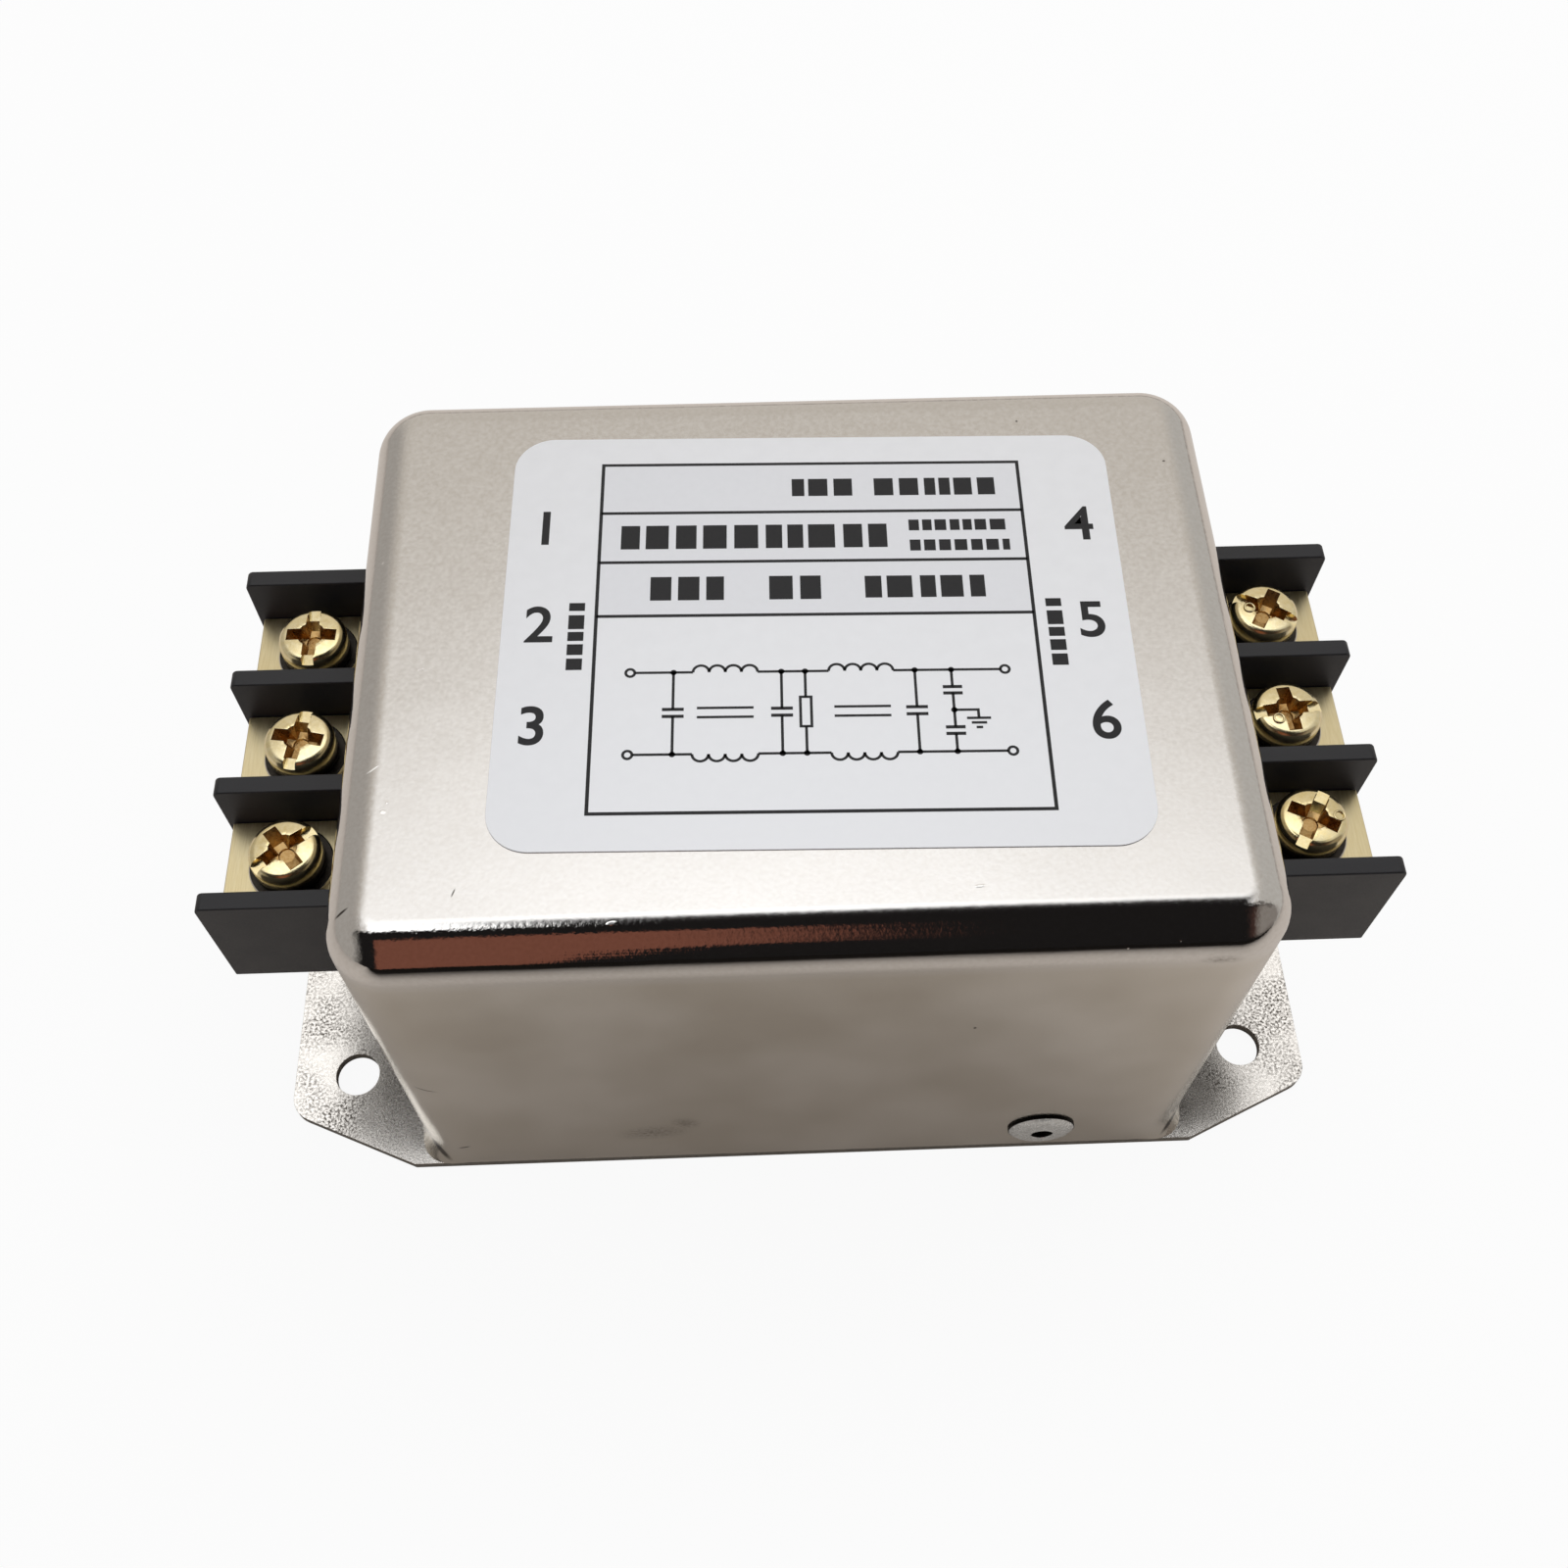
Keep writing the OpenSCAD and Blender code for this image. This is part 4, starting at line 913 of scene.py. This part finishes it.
def makeFloor(v):
    work = bmesh.new()
    corners = box2d(-v["half"], -v["half"], v["half"], v["half"])
    work.faces.new([work.verts.new((x, y, -v["drop"])) for x, y in corners])
    floor = meshObject("floor", work)
    material = bpy.data.materials.new("paper_backdrop")
    material.use_nodes = True
    tree = material.node_tree
    tree.nodes.remove(tree.nodes["Principled BSDF"])
    ray = addNode(tree, "ShaderNodeLightPath").outputs
    # polished metal sees the paper end some way in front, along a slanting edge
    place = addNode(tree, "ShaderNodeSeparateXYZ", {0: addNode(tree, "ShaderNodeTexCoord").outputs["Object"]})
    ahead = addNode(tree, "ShaderNodeMath", {0: place.outputs["X"], 1: v["slant"], 2: place.outputs["Y"]},
                    operation="MULTIPLY_ADD")
    past = addNode(tree, "ShaderNodeMapRange", {
        "Value": ahead, "From Min": v["edge"] + v["fade"], "From Max": v["edge"] - v["fade"]},
        interpolation_type="SMOOTHSTEP")
    beside = addNode(tree, "ShaderNodeMath", {0: place.outputs["Y"], 1: -v["flank"], 2: place.outputs["X"]},
                     operation="MULTIPLY_ADD")
    inFront = addNode(tree, "ShaderNodeMapRange", {
        "Value": beside, "From Min": v["flankFade"][0], "From Max": v["flankFade"][1],
        "To Max": past}, interpolation_type="SMOOTHSTEP")
    seen = addNode(tree, "ShaderNodeMix", {0: inFront, 6: linearColour(v["mirrored"]),
                                           7: linearColour(v["beyond"])}, data_type="RGBA")
    colour = addNode(tree, "ShaderNodeMix", {0: ray["Is Glossy Ray"], 6: linearColour(v["paper"]),
                                             7: seen}, data_type="RGBA")
    paper = addNode(tree, "ShaderNodeBsdfDiffuse", {"Color": colour})
    white = addNode(tree, "ShaderNodeEmission", {"Color": (1, 1, 1, 1), "Strength": 1.0})
    share = addNode(tree, "ShaderNodeMath", {0: ray["Is Camera Ray"], 1: v["white"]}, operation="MULTIPLY")
    mix = addNode(tree, "ShaderNodeMixShader", {0: share, 1: paper, 2: white})
    setInputs(tree, tree.nodes["Material Output"], {"Surface": mix})
    floor.data.materials.append(material)


standing = (0.012, 0.011, 0.011, 1)  # whoever stands in front
roomValues = {
    "low": (0.66, 0.62, 0.57, 1), "high": (1.94, 1.98, 2.04, 1), "rise": (0.745, 1.0),
    "matt": (0.6, 0.6, 0.6, 1), "ragged": 0.11, "raggedScale": 11.0, "doorFoot": (-0.14, -0.02, -0.06, 0.5),
    # each patch lies over those before it, inside soft limits on the direction that the metal looks in
    "patches": (
        ((0.43, 0.41, 0.385, 1), (("X", -0.3, -0.7),)),
        ((0.56, 0.545, 0.52, 1), (("X", 0.3, 0.7),)),
        (standing, (("Y", -0.02, -0.09), ("Z", -0.3, -0.25), ("X", -0.86, -0.6), ("X", 0.98, 0.86))),
        (standing, (("Y", 0.25, 0.2), ("Z", 0.0, 0.1), ("X", -0.19, -0.11), ("X", 0.52, 0.34))),
        ((0.065, 0.034, 0.028, 1), (("Y", 0.0, -0.35), ("X", 0.35, 0.6), ("Z", -0.05, 0.2))),
        ((0.27, 0.245, 0.225, 1), (("Y", 0.0, -0.2), ("X", 0.52, 0.72), ("Z", -0.05, 0.15))),
        ((0.2, 0.075, 0.05, 1),
         (("Y", -0.33, -0.4), ("X", -0.37, -0.26), ("X", 0.12, -0.04), ("foot", 0.0, 0.1)))),
}


def makeWorld(v):
    # white to the camera and even to matt surfaces; polished metal sees a ceiling that grows brighter
    # overhead, dimmer sides, the dark shape of whoever stands in front, and a brown door past their shoulder
    world = bpy.data.worlds.new("studio")
    world.use_nodes = True
    bpy.context.scene.world = world
    tree = world.node_tree
    ray = addNode(tree, "ShaderNodeLightPath").outputs
    place = addNode(tree, "ShaderNodeTexCoord").outputs["Generated"]
    ragged = addNode(tree, "ShaderNodeTexNoise",
                     {"Vector": place, "Scale": v["raggedScale"], "Detail": 4.0}).outputs["Color"]
    ragged = addNode(tree, "ShaderNodeVectorMath", {0: ragged, 1: (0.5, 0.5, 0.5)}, operation="SUBTRACT")
    place = addNode(tree, "ShaderNodeVectorMath", {0: ragged, 1: (v["ragged"],) * 3, 2: place},
                    operation="MULTIPLY_ADD")
    axes = dict(addNode(tree, "ShaderNodeSeparateXYZ", {0: place}).outputs.items())
    foot = addNode(tree, "ShaderNodeMapRange", {"Value": axes["X"], **dict(zip(
        ("From Min", "From Max", "To Min", "To Max"), v["doorFoot"]))}, interpolation_type="SMOOTHSTEP")
    axes["foot"] = addNode(tree, "ShaderNodeMath", {0: axes["Z"], 1: foot}, operation="SUBTRACT")
    room = v["low"]
    for colour, limits in ((v["high"], (("Z", *v["rise"]),)),) + v["patches"]:
        share = 1.0
        for axis, start, stop in limits:
            inside = addNode(tree, "ShaderNodeMapRange",
                             {"Value": axes[axis], "From Min": start, "From Max": stop},
                             interpolation_type="SMOOTHSTEP")
            share = addNode(tree, "ShaderNodeMath", {0: inside, 1: share}, operation="MULTIPLY")
        room = addNode(tree, "ShaderNodeMix", {0: share, 6: room, 7: colour}, data_type="RGBA")
    lit = addNode(tree, "ShaderNodeMix", {0: ray["Is Glossy Ray"], 6: v["matt"], 7: room}, data_type="RGBA")
    shown = addNode(tree, "ShaderNodeMix", {0: ray["Is Camera Ray"], 6: lit, 7: (1, 1, 1, 1)},
                    data_type="RGBA")
    setInputs(tree, tree.nodes["Background"], {"Color": shown})


keyValues = {"place": (0.12, 0.3, 0.55), "size": (0.5, 0.4), "power": 1.7, "target": (0, 0, 0.03)}


def makeKey(v):
    # a soft key light behind the part's right shoulder
    lamp = bpy.data.lights.new("key", "AREA")
    lamp.shape = "RECTANGLE"
    lamp.size, lamp.size_y = v["size"]
    lamp.energy = v["power"]
    obj = newObject("key", lamp)
    obj.location = v["place"]
    obj.rotation_euler = (Vector(v["target"]) - Vector(v["place"])).to_track_quat("-Z", "Y").to_euler()
    obj.visible_glossy = False  # the metal mirrors the room alone


cameraValues = {
    "optics": {"lens": 38.07, "sensor_width": 36, "shift_x": 0.0007, "shift_y": -0.0126, "clip_start": 0.01,
               "clip_end": 20},
    "place": (-0.005566, -0.090335, 0.182093), "turn": (0.53965, -0.00522, -0.03752),
}


def makeCamera(v):
    camera = bpy.data.cameras.new("camera")
    for key, value in v["optics"].items():
        setattr(camera, key, value)
    obj = newObject("camera", camera)
    obj.location = v["place"]
    obj.rotation_euler = v["turn"]
    bpy.context.scene.camera = obj


makeFloor(floorValues)
makeWorld(roomValues)
makeKey(keyValues)
makeCamera(cameraValues)
bpy.context.scene.view_settings.view_transform = "Standard"
print("stage made")
